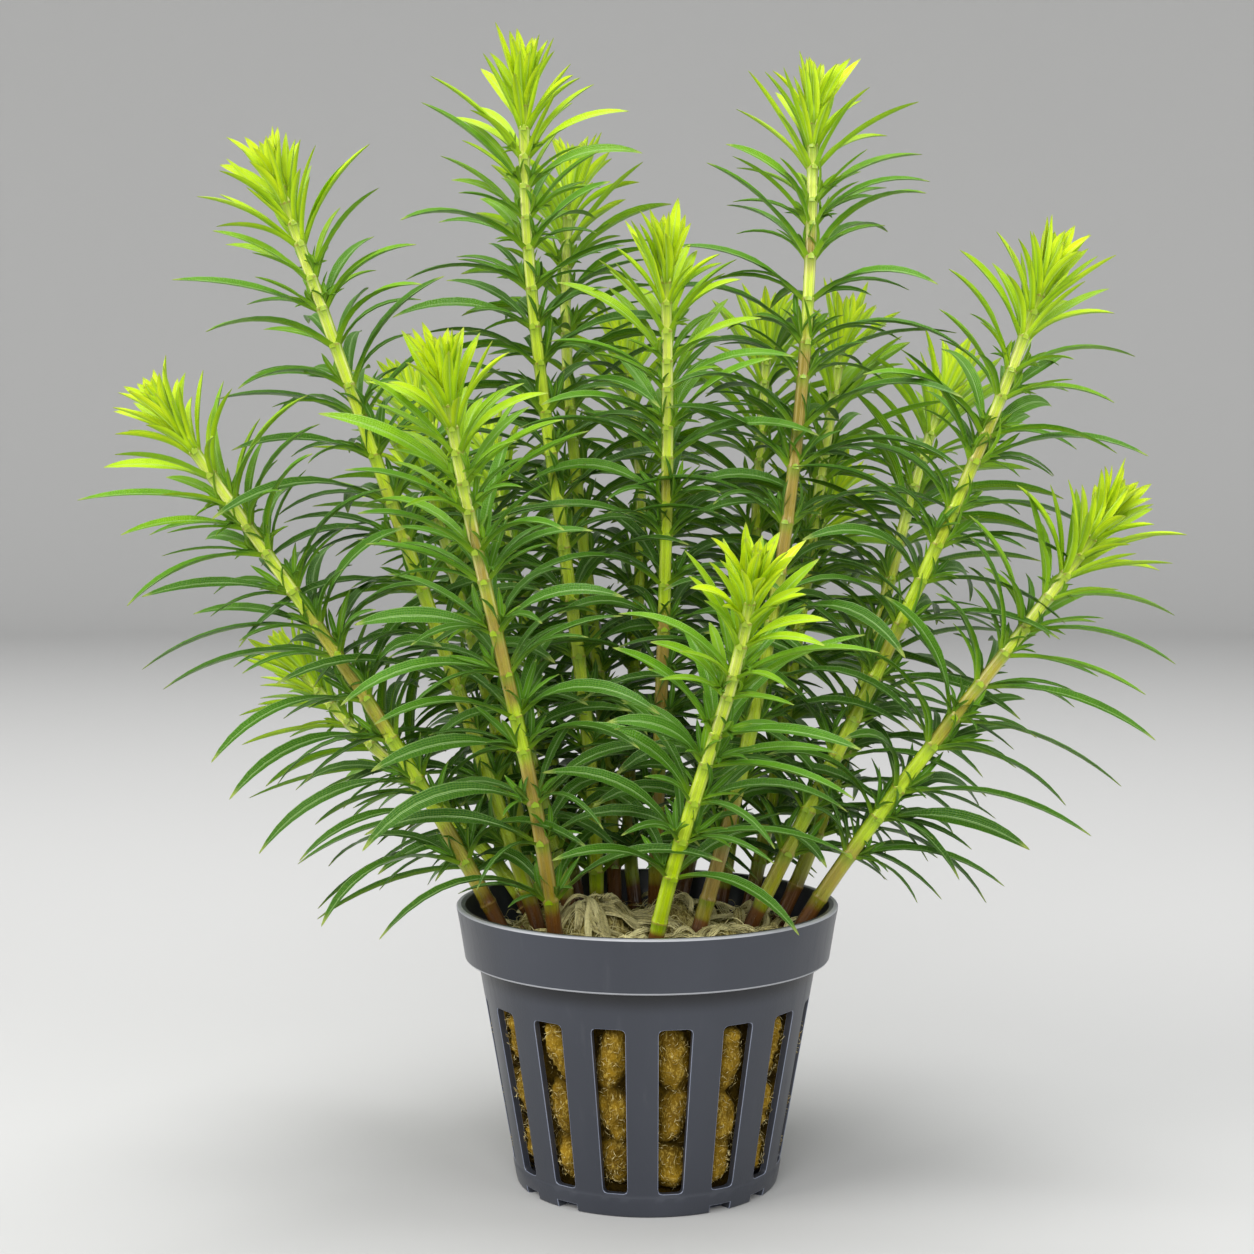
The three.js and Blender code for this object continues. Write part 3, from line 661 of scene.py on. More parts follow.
def pot_columns():
    """Angles of the columns of one sector, measured from the middle of its slot, in degrees."""
    corner = SLOT_HALF_ANGLE - math.degrees(SLOT_CORNER / wall_radius(SLOT_TOP / 2))
    half = 180.0 / SLOTS
    inner = [corner * share for share in (-1.0, -0.4, 0.4, 1.0)]
    ribs = [half - 2.0, half - 4.2]
    left = [-half, *(-rib for rib in ribs), -SLOT_HALF_ANGLE]
    right = [SLOT_HALF_ANGLE, *reversed(ribs)]
    return left + inner + right


def slot_corner(outer, inner, corners, left, low):
    """Fills one outer corner of a slot up to a quarter circle, as a fan of triangles."""
    grid = (corners[:2], corners[:1:-1])
    row, side = int(not low), int(not left)
    apex, beside = grid[row][side], grid[row][1 - side]
    above, opposite = grid[1 - row][side], grid[1 - row][1 - side]
    centre = outer[opposite]
    curve = [above]
    for angle in np.linspace(0, math.pi / 2, SLOT_CORNER_STEPS + 1)[1:-1]:
        to_above = (outer[above] - centre) * math.cos(angle)
        to_beside = (outer[beside] - centre) * math.sin(angle)
        point = centre + to_above + to_beside
        curve.append(len(outer))
        outer.append(point)
        inner.append(point - unit(point * np.array([1.0, 1.0, 0.0])) * WALL)
    curve.append(beside)
    fan = [[apex, b, a] for a, b in zip(curve, curve[1:])]
    return [[a, c, b] for a, b, c in fan] if left != low else fan


def border_edges(faces):
    """Directed edges that only one face has."""
    edges = {(a, b) for face in faces for a, b in zip(face, [*face[1:], face[0]])}
    return [(a, b) for a, b in edges if (b, a) not in edges]


def pot_points(profile, side, angles, from_slot):
    """Rows of points of the pot's outer (0) or inner (1) side, with slots that widen as they rise."""
    in_slot = np.abs(from_slot) <= math.radians(SLOT_HALF_ANGLE + 0.01)
    rows = []
    for pair in profile:
        turn = angles + from_slot * in_slot * SLOT_WIDENING * slot_height(pair[0][1])
        rows.append(about_axis(turn, *pair[side]))
    return list(np.concatenate(rows))


def pot_faces(profile, sector, outer, inner):
    """Faces of the outer side, without the slots and notches, and with rounded corners in the slots."""
    radii = [point[0] for point, _ in profile]
    levels = [point[1] for point, _ in profile]
    slot_low, slot_high = levels.index(SLOT_BOTTOM), levels.index(SLOT_TOP)
    floor_low, floor_high = radii.index(FLOOR_SLOT_START), radii.index(FLOOR_SLOT_END)
    notch_low, notch_high = floor_high + 1, levels.index(NOTCH_HEIGHT)
    first, last = sector.index(-SLOT_HALF_ANGLE), sector.index(SLOT_HALF_ANGLE)
    columns = len(sector) * SLOTS
    faces = []
    for row in range(len(profile) - 1):
        for column in range(columns):
            slot, in_sector = divmod(column, len(sector))
            over_slot = first <= in_sector < last
            in_wall = over_slot and slot_low <= row < slot_high
            in_floor = over_slot and slot % 2 == 1 and floor_low <= row < floor_high
            in_notch = over_slot and slot % 4 in (1, 2) and notch_low <= row < notch_high
            corners = [row * columns + column, row * columns + (column + 1) % columns]
            corners += [corners[1] + columns, corners[0] + columns]
            if not (in_wall or in_floor or in_notch):
                faces.append(corners)
            elif in_wall and in_sector in (first, last - 1) and row in (slot_low, slot_high - 1):
                faces += slot_corner(outer, inner, corners, in_sector == first, row == slot_low)
    return faces


def build_pot():
    """The pot as one closed shell: its outer side, its lining, and the edges that join them."""
    profile = pot_profile()
    sector = pot_columns()
    angles = np.radians([a + 360.0 * i / SLOTS for i in range(SLOTS) for a in sector]) + POT_TURN
    columns = len(angles)
    outer, inner = (pot_points(profile, side, angles, np.radians(sector * SLOTS)) for side in (0, 1))
    faces = pot_faces(profile, sector, outer, inner)
    for points, z in ((outer, 0.0), (inner, WALL)):
        points.append(np.array([0.0, 0.0, z]))
    # Painted light of each row: a painted highlight on the band's edges, painted shade under the band
    wear = np.repeat([wear_of(*point) for point, _ in profile], columns)
    wear = np.append(wear, np.zeros(2 * len(outer) - len(wear)))
    shift = len(outer)
    faces += [[shift - 1, (column + 1) % columns, column] for column in range(columns)]
    walls = [[b, a, a + shift, b + shift] for a, b in border_edges(faces)]
    lining = [[corner + shift for corner in reversed(face)] for face in faces]
    closed = faces + lining + walls
    skin = Skin(["wear"])
    groups = [np.array([face for face in closed if len(face) == size]) for size in (3, 4)]
    skin.add(np.array(outer + inner), groups, wear=wear)
    lights = {"pot_plastic": PLASTIC_LIGHT, "pot_edge_highlight": EDGE_HIGHLIGHT}
    materials = [plastic_material(name, light) for name, light in lights.items()]
    made = piece("net_pot_detail", skin.mesh("net_pot_detail", materials), "net_pot")
    rounded = made.modifiers.new("edges", "BEVEL")
    rounded.width = EDGE_ROUNDING * MM
    rounded.segments = 2
    rounded.limit_method = "ANGLE"
    rounded.angle_limit = EDGE_ANGLE
    rounded.use_clamp_overlap = True
    # The bevels take the lighter copy of the plastic, a painted highlight on the rounded edges
    rounded.material = 1
    made.modifiers.new("normals", "WEIGHTED_NORMAL")


def wool_lumps(rng):
    """The lumps behind each slot: (angle, height, half width, half height, lean)."""
    lumps = []
    for slot in range(SLOTS):
        angle = POT_TURN + slot * 2 * math.pi / SLOTS
        shift = rng.uniform(-1.2, 1.2)
        for level, half in LUMPS:
            offset = rng.uniform(-0.5, 0.5)
            width = rng.uniform(2.7, 3.4)
            height = level + shift + rng.uniform(-0.4, 0.4)
            lean = rng.uniform(-0.55, 0.55)
            lumps.append((angle + offset / 19.0, height, width, half, lean))
    return lumps


def lump_reach(angles, z, rise):
    """How far from the axis the plug's side stands: pushed out between the edges of each slot."""
    pitch = 2 * math.pi / SLOTS
    from_slot = np.abs((angles - POT_TURN + pitch / 2) % pitch - pitch / 2)
    height = slot_height(z)
    half = math.radians(SLOT_HALF_ANGLE) * (1 + SLOT_WIDENING * height)
    open_here = np.clip(1 - (from_slot / half) ** 2, 0, 1) * np.clip(height * (1 - height) * 16, 0, 1)
    return inner_radius(z) - WOOL_GAP - LUMP_DEPTH * (1 - rise) + LUMP_BULGE * rise * open_here


def lump_shape(across, up, lean):
    """How proud a lump stands at a place, given from its middle in half widths and half heights."""
    return np.clip(1 - np.abs(across) ** 2.3 - np.abs(up - lean * across) ** 2.3, 0, 1) ** 0.42


def lump_rise(angles, z, lumps):
    """How far each point stands proud of the folds, from 0 to 1."""
    rise = np.zeros(np.broadcast(angles, z).shape)
    for angle, level, width, half, lean in lumps:
        across = np.angle(np.exp(1j * (angles - angle))) * inner_radius(z) / width
        rise = np.maximum(rise, lump_shape(across, (z - level) / half, lean))
    return rise


def top_height(x, y):
    """Height of the plug's top, with its tufts, over a place."""
    height = np.full(x.shape, PLUG_TOP)
    for tuft_x, tuft_y, tall, reach in TUFTS:
        away = np.hypot(x - tuft_x, y - tuft_y) / reach
        height = height + tall * np.clip(1 - away**2, 0, 1) ** 1.4
    return height


def roughness_of(points, scale, most):
    """Fractal noise at each point, to about most up or down."""
    return np.array([noise.fractal(Vector(p) * scale, 0.9, 2.0, 4) for p in points]) * most


def add_fibre(skin, path, radius, height, loose, slot=0):
    """A thin closed tube along a path, with its height share and how pale it is, from 0 to 1."""
    forward = unit(np.gradient(path, axis=0))
    aside = unit(np.cross(forward, UP + 0.01))
    thin = radius * np.sin(np.linspace(0.25, 2.9, len(path)))[:, None, None]
    circle = circles(aside, np.cross(forward, aside), FIBRE_SIDES)
    points = (path[:, None] + circle * thin).reshape(-1, 3)
    last = len(points) - FIBRE_SIDES
    faces = [ring_faces(len(path), FIBRE_SIDES), [[2, 1, 0], [last, last + 1, last + 2]]]
    skin.add(points, faces, slot, wool=np.array([1.0, height, loose]))


def wool_core(lumps):
    """Rows of points of the plug's sides and top, with how proud each stands."""
    columns = SLOTS * COLUMNS_PER_SLOT
    angles = round_angles(columns)
    bottom = inner_radius(PLUG_BOTTOM) - WOOL_GAP - LUMP_DEPTH
    rows = [(share * bottom, PLUG_BOTTOM, 0.0) for share in (0.35, 0.8)]
    for z in np.linspace(PLUG_BOTTOM, PLUG_TOP - 0.8, SIDE_ROWS):
        rise = lump_rise(angles, z, lumps)
        collar = float(smooth(z, SLOT_TOP + 0.5, PLUG_TOP - 4))
        rise = rise + (1 - rise) * collar * 0.8
        rows.append((lump_reach(angles, z, rise), z, rise))
    edge = np.minimum(rows[-1][0], WOOL_REACH)
    for share in np.linspace(0.98, 0.04, TOP_ROWS):
        x, y, _ = about_axis(angles, edge * share, 0.0).T
        level = top_height(x, y) - CORE_DROP - 0.8 * smooth(share, 0.9, 1.0)
        rows.append((edge * share, level, 1.0))
    points = np.concatenate([about_axis(angles, reach, z) for reach, z, _ in rows])
    proud = np.concatenate([np.broadcast_to(rise, columns) for _, _, rise in rows])
    return points, proud, len(rows), columns


def build_wool():
    """The plug as one piece: a lumpy core, and the fibres, locks and roots that lie on it."""
    rng = np.random.default_rng(WOOL_SEED)
    lumps = wool_lumps(rng)
    points, proud, rows, columns = wool_core(lumps)
    outward = unit(points * np.array([1.0, 1.0, 0.0]) + 1e-6)
    on_top = smooth(points[:, 2], PLUG_TOP - 1.4, PLUG_TOP - 0.6)
    direction = outward * (1 - on_top)[:, None] + UP * on_top[:, None]
    rough = (roughness_of(points, 0.5, 0.8) + roughness_of(points, 1.7, 0.4)) * (1 + 0.7 * on_top)
    points = points + direction * (np.minimum(rough, 0.35 + 2 * on_top) - 0.25)[:, None]
    highest = float(top_height(np.zeros(1), np.zeros(1))[0]) - CORE_DROP
    points = np.concatenate([points, [[0, 0, PLUG_BOTTOM], [0, 0, highest]]])
    wool = np.stack([np.append(proud, [0, 1]), points[:, 2] / PLUG_TOP, np.zeros(len(points))], -1)
    skin = Skin(["wool"])
    skin.add(points, closed_faces(rows, columns), wool=wool)
    for lump in lumps:
        add_lump_fibres(skin, rng, *lump)
    add_locks(skin, rng)
    add_loose_fibres(skin, rng)
    add_roots(skin, rng)
    mesh = skin.mesh("rock_wool_detail", [wool_material(), root_material()])
    piece("rock_wool_detail", mesh, "rock_wool")


def add_lump_fibres(skin, rng, angle, level, width, half, lean):
    """Short pale fibres that stand out of a lump."""
    steps = np.linspace(0, 1, 3)
    for _ in range(LUMP_FIBRES):
        across, up = rng.uniform(-0.95, 0.95, 2)
        length = rng.uniform(0.4, 1.3)
        turn = rng.uniform(0, 2 * math.pi) + rng.uniform(-1.2, 1.2) * steps
        u = across * width + np.cumsum(np.cos(turn)) * length / len(steps)
        v = (up + lean * across) * half + np.cumsum(np.sin(turn)) * length / len(steps)
        rise = lump_shape(u / width, v / half, lean)
        z = np.clip(level + v, PLUG_BOTTOM + 0.1, PLUG_TOP)
        lift = 0.02 + 0.6 * rng.uniform() * steps
        turned = angle + u / inner_radius(z)
        reach = np.minimum(lump_reach(turned, z, rise) + lift, inner_radius(z) + 0.9)
        add_fibre(skin, about_axis(turned, reach, z), rng.uniform(0.03, 0.055), 0.5, rng.uniform(0.1, 1.0))


def top_path(x, y, turn, length, lift):
    """A path over the top of the plug from a point, by its direction at each step."""
    xs = x + np.cumsum(np.cos(turn)) * length / len(turn)
    ys = y + np.cumsum(np.sin(turn)) * length / len(turn)
    inside = np.minimum(1, WOOL_REACH / np.maximum(np.hypot(xs, ys), 1e-6))
    xs, ys = xs * inside, ys * inside
    return np.stack([xs, ys, top_height(xs, ys) + lift], -1)


def add_locks(skin, rng):
    """Ribbons of fine strands that drape over the tufts and swirl over the top of the plug."""
    steps = np.linspace(0, 1, 11)
    for lock in range(LOCKS):
        tuft_x, tuft_y, _, reach = TUFTS[0 if lock < MAIN_LOCKS else lock % len(TUFTS)]
        around = rng.uniform(0, 2 * math.pi)
        if lock < LOCKS / 2:
            away = rng.uniform(0.0, 0.7) * reach
            x, y = tuft_x + away * math.cos(around), tuft_y + away * math.sin(around)
        else:
            away = 19.0 * math.sqrt(rng.uniform())
            x, y = away * math.cos(around), away * math.sin(around)
        turn = around + LOCK_SWIRL + rng.uniform(-0.9, 0.9) + rng.uniform(-2.4, 2.4) * steps
        arch = rng.uniform(0.4, 1.7) * np.sin(steps * math.pi)
        middle = top_path(x, y, turn, rng.uniform(4.5, 9.0), arch)
        aside = unit(np.cross(np.gradient(middle, axis=0), UP))
        width = rng.uniform(0.7, 1.5) * (0.6 + 0.4 * np.sin(steps * math.pi))
        shade = rng.uniform(0.05, 0.85)
        for place in np.linspace(-0.5, 0.5, STRANDS):
            lift = 0.3 * math.cos(place * math.pi) + rng.uniform(0.0, 0.12)
            lift = lift + 0.06 * np.sin(steps * 8 + rng.uniform(0, 6))
            path = middle + aside * (place * width)[:, None] + UP * lift[:, None]
            add_fibre(skin, path, rng.uniform(0.07, 0.12), 1.0, shade + rng.uniform(-0.1, 0.4))


def add_loose_fibres(skin, rng):
    """Single strands that lie over the locks."""
    steps = np.linspace(0, 1, 7)
    for _ in range(LOOSE_FIBRES):
        away, around = 20.0 * math.sqrt(rng.uniform()), rng.uniform(0, 2 * math.pi)
        turn = rng.uniform(0, 2 * math.pi) + rng.uniform(-3.0, 3.0) * steps
        lift = rng.uniform(0.05, 1.0) * np.sin(steps * math.pi) + rng.uniform(0.1, 0.6)
        path = top_path(away * math.cos(around), away * math.sin(around), turn, rng.uniform(2.0, 6.0), lift)
        add_fibre(skin, path, rng.uniform(0.035, 0.07), 1.0, rng.uniform(0.3, 1.0))


def add_roots(skin, rng):
    """A few brown root ends at the feet of the stems."""
    steps = np.linspace(0, 1, 7)
    for foot, *_ in STEMS:
        for _ in range(2):
            turn = rng.uniform(0, 2 * math.pi) + rng.uniform(-0.7, 0.7) * steps
            x, y = foot[0] + rng.uniform(-1.5, 1.5), foot[1] + rng.uniform(-1.5, 1.5)
            lift = rng.uniform(0.1, 0.6) * np.sin(steps * math.pi) + 0.25
            path = top_path(x, y, turn, rng.uniform(1.5, 3.5), lift)
            add_fibre(skin, path, rng.uniform(0.08, 0.14), 1.0, 0.0, slot=1)


class Curve:
    """A cubic Bezier curve, read by its distance from the stem's tip."""

    def __init__(self, foot, low, high, tip):
        start = (*foot, PLUG_TOP - FOOT_DEPTH)
        self.controls = np.array([start, low, high, tip], float)
        self.share = np.linspace(0, 1, CURVE_SAMPLES)
        steps = np.linalg.norm(np.diff(self.at(self.share), axis=0), axis=1)
        self.travelled = np.concatenate([[0], np.cumsum(steps)])
        self.length = float(self.travelled[-1])

    def at(self, share):
        share = np.asarray(share)[:, None]
        rest = 1 - share
        a, b, c, d = self.controls
        return a * rest**3 + 3 * b * rest**2 * share + 3 * c * rest * share**2 + d * share**3

    def slope(self, share):
        share = np.asarray(share)[:, None]
        rest = 1 - share
        a, b, c, d = self.controls
        return unit((b - a) * rest**2 + 2 * (c - b) * rest * share + (d - c) * share**2)

    def places(self, distances):
        """Points, axes, fronts and sides at these distances from the tip."""
        travelled = np.clip(self.length - np.asarray(distances), 0, self.length)
        share = np.interp(travelled, self.travelled, self.share)
        axis = self.slope(share)
        front = unit(FRONT - axis * (axis @ FRONT)[:, None])
        return self.at(share), axis, front, np.cross(axis, front)

    def place(self, distance):
        return [values[0] for values in self.places([distance])]

    def radius(self, distances):
        along = 1 - np.clip(np.asarray(distances) / self.length, 0, 1)
        return FOOT_STEM_RADIUS + (TIP_STEM_RADIUS - FOOT_STEM_RADIUS) * along


def leaf_age(distance):
    """0 at the tip of a stem, towards 1 far below it."""
    return 1 - math.exp(-distance / LEAF_AGEING)


def stalk_age(distance):
    return np.clip(distance / STALK_AGEING, 0, OLDEST_STALK)


def outward_at(front, side, azimuth):
    """The direction out of a stem at an azimuth from its front."""
    angle = math.radians(azimuth)
    return front * math.cos(angle) + side * math.sin(angle)


def light_side(point):
    """Where a leaf's upper side turns: up, to the front, and away from the plant's middle."""
    away = unit(np.array([0.35 * point[0], point[1] - 14.0, 0.0]))
    return unit(UP * 0.75 + away * 0.8)


def leaf_path(start, axis, outward, shape):
    """Points of a leaf's midrib: it leaves the stem at a tilt and bends away from it along an arc."""
    t = 1 - np.linspace(1, 0, shape["steps"] + 1) ** 1.15
    tilt, turn, length = shape["tilt"], shape["turn"], shape["length"]
    rise = (np.sin(tilt + turn * t) - math.sin(tilt)) / turn
    reach = (math.cos(tilt) - np.cos(tilt + turn * t)) / turn
    path = start + length * (rise[:, None] * axis + reach[:, None] * outward)
    across = np.cross(axis, outward)
    path = path - UP * (shape["sag"] * t * t)[:, None] + across * (shape["sway"] * length * t * t)[:, None]
    return t, path


def meets_pot(path):
    """Whether a leaf would pass through the pot."""
    inside = np.hypot(path[:, 0], path[:, 1]) < RIM_RADIUS + POT_CLEARANCE
    return bool(np.any(inside & (path[:, 2] < POT_HEIGHT + POT_CLEARANCE)))


def clear_path(start, axis, outward, shape):
    """A leaf's path, raised while it meets the pot, or None if it still does."""
    for _ in range(RAISING_TRIES):
        t, path = leaf_path(start, axis, outward, shape)
        if not meets_pot(path):
            return t, path
        shape.update(tilt=shape["tilt"] * 0.85, turn=shape["turn"] * 0.7, sag=shape["sag"] * 0.5)
    return None


def leaf_sides(path, t, axis, outward, shape):
    """Directions across and above a leaf along its path, rolled towards the light."""
    forward = unit(np.gradient(path, axis=0))
    across = np.cross(axis, outward)
    aside = unit(across - forward * (forward @ across)[:, None])
    above = np.cross(forward, aside)
    middle = shape["steps"] // 2
    light = shape["light"]
    to_light = math.atan2(light @ aside[middle], light @ above[middle])
    roll = max(-1.3, min(1.3, to_light * shape["follow"])) + shape["roll"]
    roll = (roll * smooth(t, 0.0, 0.5))[:, None]
    return aside * np.cos(roll) - above * np.sin(roll), above * np.cos(roll) + aside * np.sin(roll)


def add_leaf(skin, start, axis, outward, **shape):
    """A channelled blade with PLAIN_LEAF's values where none is given, left out if it can't clear the pot."""
    shape = {**PLAIN_LEAF, **shape}
    found = clear_path(start, axis, outward, shape)
    if found is None:
        return
    t, path = found
    aside, above = leaf_sides(path, t, axis, outward, shape)
    swell = shape["base"] + (1 - shape["base"]) * smooth(t, -0.02, 0.5)
    taper = 1 - np.clip((t - 0.42) / 0.58, 0, 1) ** 3.0
    half = shape["width"] / 2 * swell * (0.14 + 0.86 * taper)
    thick = shape["thick"] * (1.9 - 0.9 * smooth(t, 0, 0.3)) * (0.3 + 0.7 * taper)
    sideways, upper, lift, drop = shape["section"].T
    raised = (shape["fold"] * half)[:, None] * lift - thick[:, None] * drop
    points = path[:, None] + aside[:, None] * (half[:, None] * sideways)[..., None]
    points = (points + above[:, None] * raised[..., None]).reshape(-1, 3)
    tip = path[-1] + unit(path[-1] - path[-2]) * shape["width"] * 0.14
    points = np.concatenate([points, [path[0], tip]])
    blade = np.stack(np.broadcast_arrays(sideways[None, :], t[:, None], upper[None, :]), -1).reshape(-1, 3)
    blade = np.concatenate([blade, [[0, 0, 1], [0, 1, 1]]])
    if shape["bract"]:
        blade = np.broadcast_to([0.0, 0.3, 1.0], blade.shape)
    faces = closed_faces(len(t), len(sideways))
    skin.add(points, faces, int(shape["bract"]), blade=blade, age=shape["age"], tint=shape["tint"])


def whorl_of(node, distance):
    """The leaves of a node: (azimuth, share of full length, share of full width)."""
    if distance < OPEN_CROWN_LENGTH:
        return [(azimuth + 22 * (1 - node % 2), share, wide) for azimuth, share, wide in CROWN_WHORL]
    return OPEN_WHORLS[node % 2] if distance < CROWN_LENGTH else WHORLS[node % 4]


def has_dropped(stem, node, azimuth, share, distance):
    """Whether one of a whorl's lesser leaves has gone, as more and more have further down."""
    loss = LEAF_LOSS * smooth(distance, LEAF_LOSS_FROM, LEAF_LOSS_TO)
    return share < 0.8 and chance(stem, node, azimuth, 25) < loss


def add_whorl(skin, stem, node, curve):
    """The leaves of one node, with its bracts and the shoots in its leaf axils."""
    distance = node_distance(stem, node)
    point, axis, front, side = curve.place(distance)
    radius = float(curve.radius([distance])[0])
    light = light_side(point)
    age = leaf_age(distance)
    for azimuth, share, wide in whorl_of(node, distance):
        if has_dropped(stem, node, azimuth, share, distance):
            continue
        vary = partial(spread, stem, node, azimuth)
        outward = outward_at(front, side, azimuth + vary(1, AZIMUTH_SPREAD))
        full = share * (1 + vary(4, LENGTH_SPREAD))
        tilt = math.radians(grown(LEAF_TILT, distance) + vary(2, TILT_SPREAD))
        turn = math.radians(grown(LEAF_TURN, distance) + vary(3, TURN_SPREAD))
        upright = axis[2] * math.cos(tilt) + outward[2] * math.sin(tilt)
        add_leaf(
            skin, point + outward * radius * 0.7, axis, outward,
            tilt=tilt,
            turn=turn * (1 - LEVELLING * max(0.0, UPRIGHT_SHARE - upright)),
            length=grown(LEAF_LENGTH, distance) * full,
            width=grown(LEAF_WIDTH, distance) * wide * (1 + vary(17, WIDTH_SPREAD)),
            sag=grown(LEAF_SAG, distance) * full,
            sway=vary(5, 0.12),
            light=light,
            follow=0.2 + 0.55 * chance(stem, node, azimuth, 18),
            roll=vary(6, 0.35),
            base=0.62 - 0.34 * age,
            fold=0.42 - 0.2 * age,
            thick=0.15,
            steps=10 if wide > 0.7 else 8,
            section=FULL_BLADE,
            age=age,
            tint=chance(stem, node, azimuth, 7),
        )
    place = (point, axis, front, side, radius)
    if distance > OPEN_CROWN_LENGTH:
        add_bracts(skin, stem, node, place, stalk_age(distance))
    if distance > FIRST_SHOOT:
        add_shoots(skin, stem, node, distance, place)


def add_bracts(skin, stem, node, place, age):
    """The small pointed scales that lie against the stalk at the front and back of a node."""
    point, axis, front, side, radius = place
    for azimuth in (spread(stem, node, 0, 30, 20), 180.0):
        outward = outward_at(front, side, azimuth)
        add_leaf(
            skin, point + outward * radius - axis * 0.25, axis, outward,
            tilt=0.02, turn=0.1, length=0.5 + 0.3 * chance(stem, node, 0, 31), width=radius,
            light=outward, base=1.0, fold=-0.5, thick=0.08, bract=True, age=age,
        )


def add_shoots(skin, stem, node, distance, place):
    """Small leafy shoots that stand in the leaf axils."""
    point, axis, front, side, radius = place
    odds = partial(chance, stem, node)
    light = light_side(point)
    reach = min(1.0, distance / FULL_SHOOTS)
    age = 0.24 + 0.42 * leaf_age(distance)
    for middle, fewer in ((70, 0), (290, 0), (176, 2)):
        if odds(middle, 26) < SHOOT_LOSS:
            continue
        outward = outward_at(front, side, middle + spread(stem, node, middle, 19, 20))
        lean = math.radians(14 + 26 * odds(middle, 9))
        shoot = axis * math.cos(lean) + outward * math.sin(lean)
        first = unit(np.cross(shoot, front))
        second = np.cross(shoot, first)
        size = 2.6 + 2.0 * reach + 3.6 * reach * odds(middle, 10)
        start = point + outward * radius * 0.8 + axis * 0.35
        for i in range(5 + int(odds(middle, 8) * 4.2) - fewer):
            key = middle + i
            spin = math.radians(SPIRAL_ANGLE * i + 360 * odds(middle, 11))
            length = size * (1.0 - 0.09 * i) * (0.75 + 0.4 * odds(key, 12))
            add_leaf(
                skin, start + shoot * 0.2 * i, shoot, first * math.cos(spin) + second * math.sin(spin),
                tilt=math.radians(5 + 20 * odds(key, 13) + 5 * i),
                turn=math.radians(14 + 40 * odds(key, 14)),
                length=length,
                width=0.38 + 0.075 * length,
                sway=spread(stem, node, key, 15, 0.15),
                light=light,
                follow=0.5,
                age=age,
                tint=odds(key, 16),
            )


def add_bud(skin, stem, curve):
    """The youngest leaves, closed round the growing tip."""
    point, axis, front, side = curve.place(0.0)
    for i in range(BUD_LEAVES):
        vary = partial(spread, stem, 0, i)
        outward = outward_at(front, side, i * SPIRAL_ANGLE + stem * 31)
        add_leaf(
            skin, point + outward * 0.25 - axis * 0.06 * i, axis, outward,
            tilt=math.radians(0.5 + 0.8 * i + vary(23, 1.5)),
            turn=math.radians(3 + 0.8 * i),
            length=4.0 + 0.2 * i + vary(20, 0.6),
            width=1.3 + 0.05 * i,
            light=light_side(point),
            roll=vary(21, 0.3),
            base=0.8,
            fold=0.5,
            thick=0.16,
            steps=8,
            section=FULL_BLADE,
            age=0.0,
            tint=chance(stem, 0, i, 22) * 0.5,
        )


def stalk_distances(curve, places):
    """Distances of the stalk's rings from its tip, close together round each node."""
    near_nodes = (places[:, None] + np.array(NODE_RINGS)).ravel()
    between = np.arange(-0.6, curve.length, RING_SPACING)
    between = between[np.abs(between[:, None] - places[None, :]).min(1) > max(NODE_RINGS)]
    return np.sort(np.concatenate([between, near_nodes[near_nodes < curve.length], [curve.length]]))


def stalk_look(stem, heights, distances):
    """Age and brownness of each ring: a dark foot, and brown stretches that come and go."""
    bare = PLUG_TOP + 2.0 + 5.0 * chance(stem, 0, 0, 32)
    foot = smooth(heights, bare + 3.2, bare - 1.8)
    foot_age = 0.9 + 0.1 * smooth(heights, PLUG_TOP + 4, PLUG_TOP)
    age = stalk_age(distances) * (1 - foot) + foot * foot_age
    brown = np.array([noise.noise(Vector((d / 13.0, stem * 3.7, 0.0))) for d in distances])
    brown = smooth(brown + 0.55 * BROWNING[stem], -0.05, 0.55)
    return age, BROWNING[stem] * brown * smooth(distances, 8, 22)


def add_stalk(skin, stem, curve, nodes):
    """The stalk: four blunt corners, a swelling at each node, closed at both ends."""
    places = np.array([node_distance(stem, n) for n in nodes])
    distances = stalk_distances(curve, places)
    points, axes, fronts, flanks = curve.places(distances)
    points = points + axes * np.clip(-distances, 0, None)[:, None]
    away = distances[:, None] - places[None, :]
    gaps = np.abs(away).min(1)
    below = np.where(away > -0.2, away, 9.0).min(1)
    swell = 1.0
    for away_from, (most, over) in ((gaps, NODE_SWELL), (below, BELOW_SWELL)):
        swell = swell + most * np.exp(-((away_from / over) ** 2))
    girth = curve.radius(distances) * swell * smooth(distances, -1.4, 1.2)
    corners = 1 - CORNER_RISE * np.cos(round_angles(STALK_SIDES) * 4)
    reach = circles(fronts, flanks, STALK_SIDES) * girth[:, None, None] * corners[None, :, None]
    surface = (points[:, None] + reach).reshape(-1, 3)
    surface = np.concatenate([surface, [points[0] + axes[0] * 0.2, points[-1]]])
    around = np.arange(STALK_SIDES) / STALK_SIDES
    blade = np.stack(np.broadcast_arrays(around, below[:, None], gaps[:, None]), -1).reshape(-1, 3)
    blade = np.concatenate([blade, [[0, 9, 9], [0, 9, 9]]])
    age, brown = stalk_look(stem, points[:, 2], distances)
    ages = np.append(np.repeat(age, STALK_SIDES), [age[0], age[-1]])
    tints = np.append(np.repeat(brown, STALK_SIDES), [0, 0])
    faces = closed_faces(len(distances), STALK_SIDES, clockwise=True)
    skin.add(surface, faces, 1, blade=blade, age=ages, tint=tints)


